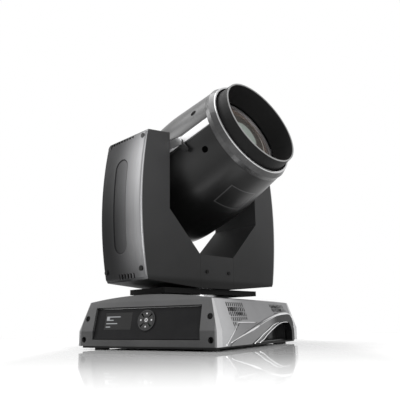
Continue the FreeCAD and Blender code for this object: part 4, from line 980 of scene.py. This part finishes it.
# %% [markdown]
# The light stands on a pale, polished table: it keeps the shadow and a slightly blurred mirror image.
# The mirror weakens towards the viewer and to each side, and the far edge fades away. One flat sheet
# does all that, with two Mix Shader factors that read how far back and how far aside a point lies.

# %% Floor
FLOOR_HEIGHT = -0.003
WHITE = (1, 1, 1)
VIEW_WAY = (-0.502, 0.865)


def layered(below, above, share):
    """Two shaders, with a share of the second."""
    return share.node("ShaderNodeMixShader", {}, {0: share, 1: below, 2: above})


corners = [(-3, -3), (3, -3), (3, 3), (-3, 3)]
floor_mesh = bpy.data.meshes.new("floor")
floor_mesh.from_pydata([(*corner, FLOOR_HEIGHT) for corner in corners], [], [(0, 1, 2, 3)])
floor = bpy.data.objects.new("floor", floor_mesh)
bpy.context.scene.collection.objects.link(floor)
pale_floor = bpy.data.materials.new("Pale floor")
pale_floor.use_nodes = True
tree = pale_floor.node_tree
tree.nodes.clear()
x, y, z = add_node(tree, "ShaderNodeTexCoord", {}, {}, "Object").axes()
back = x * VIEW_WAY[0] + y * VIEW_WAY[1]
aside = abs(x * VIEW_WAY[1] - y * VIEW_WAY[0])
paper = add_node(tree, "ShaderNodeBsdfDiffuse", {}, {"Color": (0.82, 0.82, 0.82)})
polish = add_node(tree, "ShaderNodeBsdfGlossy", {}, {"Color": WHITE, "Roughness": 0.02})
clear = add_node(tree, "ShaderNodeBsdfTransparent", {}, {})
mirror_share = 0.72 * back.step(-0.80, -0.24) * (1.0 - aside.step(0.19, 0.30))
table = layered(layered(paper, polish, mirror_share), clear, back.step(0.25, 0.60))
feed(tree, tree.nodes.new("ShaderNodeOutputMaterial").inputs["Surface"], table)
floor_mesh.materials.append(pale_floor)
print("floor at", FLOOR_HEIGHT, "m")

# %% [markdown]
# The room is an even, soft white that lights the object from all round. The camera alone sees it at
# full white: more light on the object would wash its blacks out, so a Light Path node keeps the two
# apart.

# %% Background
world = bpy.data.worlds.new("studio")
bpy.context.scene.world = world
world.use_nodes = True
tree = world.node_tree
tree.nodes.clear()
seen = add_node(tree, "ShaderNodeLightPath", {}, {}, "Is Camera Ray")
room = add_node(tree, "ShaderNodeBackground", {}, {"Color": WHITE, "Strength": 0.8})
plain = add_node(tree, "ShaderNodeBackground", {}, {"Color": WHITE, "Strength": 1.0})
feed(tree, tree.nodes.new("ShaderNodeOutputWorld").inputs["Surface"], layered(room, plain, seen))
print("room strength", 0.8)

# %% [markdown]
# Three large soft lamps light the object: one above, one to the left, and a tall narrow one to the
# right, which draws the bright edges of the barrel and the arm. A lamp shines along its own -Z, so
# its matrix is built from the way that it aims. A Track To constraint would do the same, but this
# leaves nothing live in the scene.

# %% Lamps
def seat(x, y, z, place):
    """The matrix that puts an object at a place, with these three vectors as its axes."""
    rows = np.stack([x, y, z], 1).tolist()
    return Matrix([(*row, spot) for row, spot in zip(rows, place)] + [(0, 0, 0, 1)])


def lamp(name, place, aim, size, power):
    """A rectangular soft lamp. Its side is square to its aim and level, and its up to both."""
    data = bpy.data.lights.new(name, "AREA")
    data.shape = "RECTANGLE"
    data.size, data.size_y = size
    data.energy = power
    made = bpy.data.objects.new(name, data)
    bpy.context.scene.collection.objects.link(made)
    way = np.array(aim, float) - np.array(place, float)
    way /= np.linalg.norm(way)
    side = np.cross(way, (0, 0, 1.0))
    side /= np.linalg.norm(side)
    made.matrix_world = seat(side, np.cross(side, way), -way, place)


lamp("above", (-0.3, -0.2, 2.0), (0, 0, 0.2), (1.8, 1.8), 28)
lamp("left", (-1.9, -0.9, 1.5), (0, 0, 0.25), (0.7, 1.4), 16)
lamp("right", (1.7, -1.0, 0.55), (0, 0, 0.2), (0.3, 1.4), 20)
print("lamps 3")

# %% [markdown]
# The camera stands low, close to the right front corner of the base, and looks up. Yaw, pitch and a
# trace of roll say that more plainly than nine numbers of a matrix.

# %% Camera
EYE = (0.4686, -0.7893, 0.0371)
YAW = math.radians(30.11)
PITCH = math.radians(14.01)
ROLL = math.radians(-0.89)
ahead = np.array([-math.sin(YAW) * math.cos(PITCH), math.cos(YAW) * math.cos(PITCH), math.sin(PITCH)])
level = np.array([math.cos(YAW), math.sin(YAW), 0.0])
above = np.cross(level, ahead)
across = level * math.cos(ROLL) + above * math.sin(ROLL)
upward = above * math.cos(ROLL) - level * math.sin(ROLL)
camera = bpy.data.objects.new("camera", bpy.data.cameras.new("camera"))
camera.data.lens = 44.25
camera.data.sensor_width = 36
camera.matrix_world = seat(across, upward, -ahead, EYE)
bpy.context.scene.collection.objects.link(camera)
bpy.context.scene.camera = camera
bpy.context.scene.view_settings.view_transform = "Standard"
print("camera", camera.data.lens, "mm lens at", EYE)
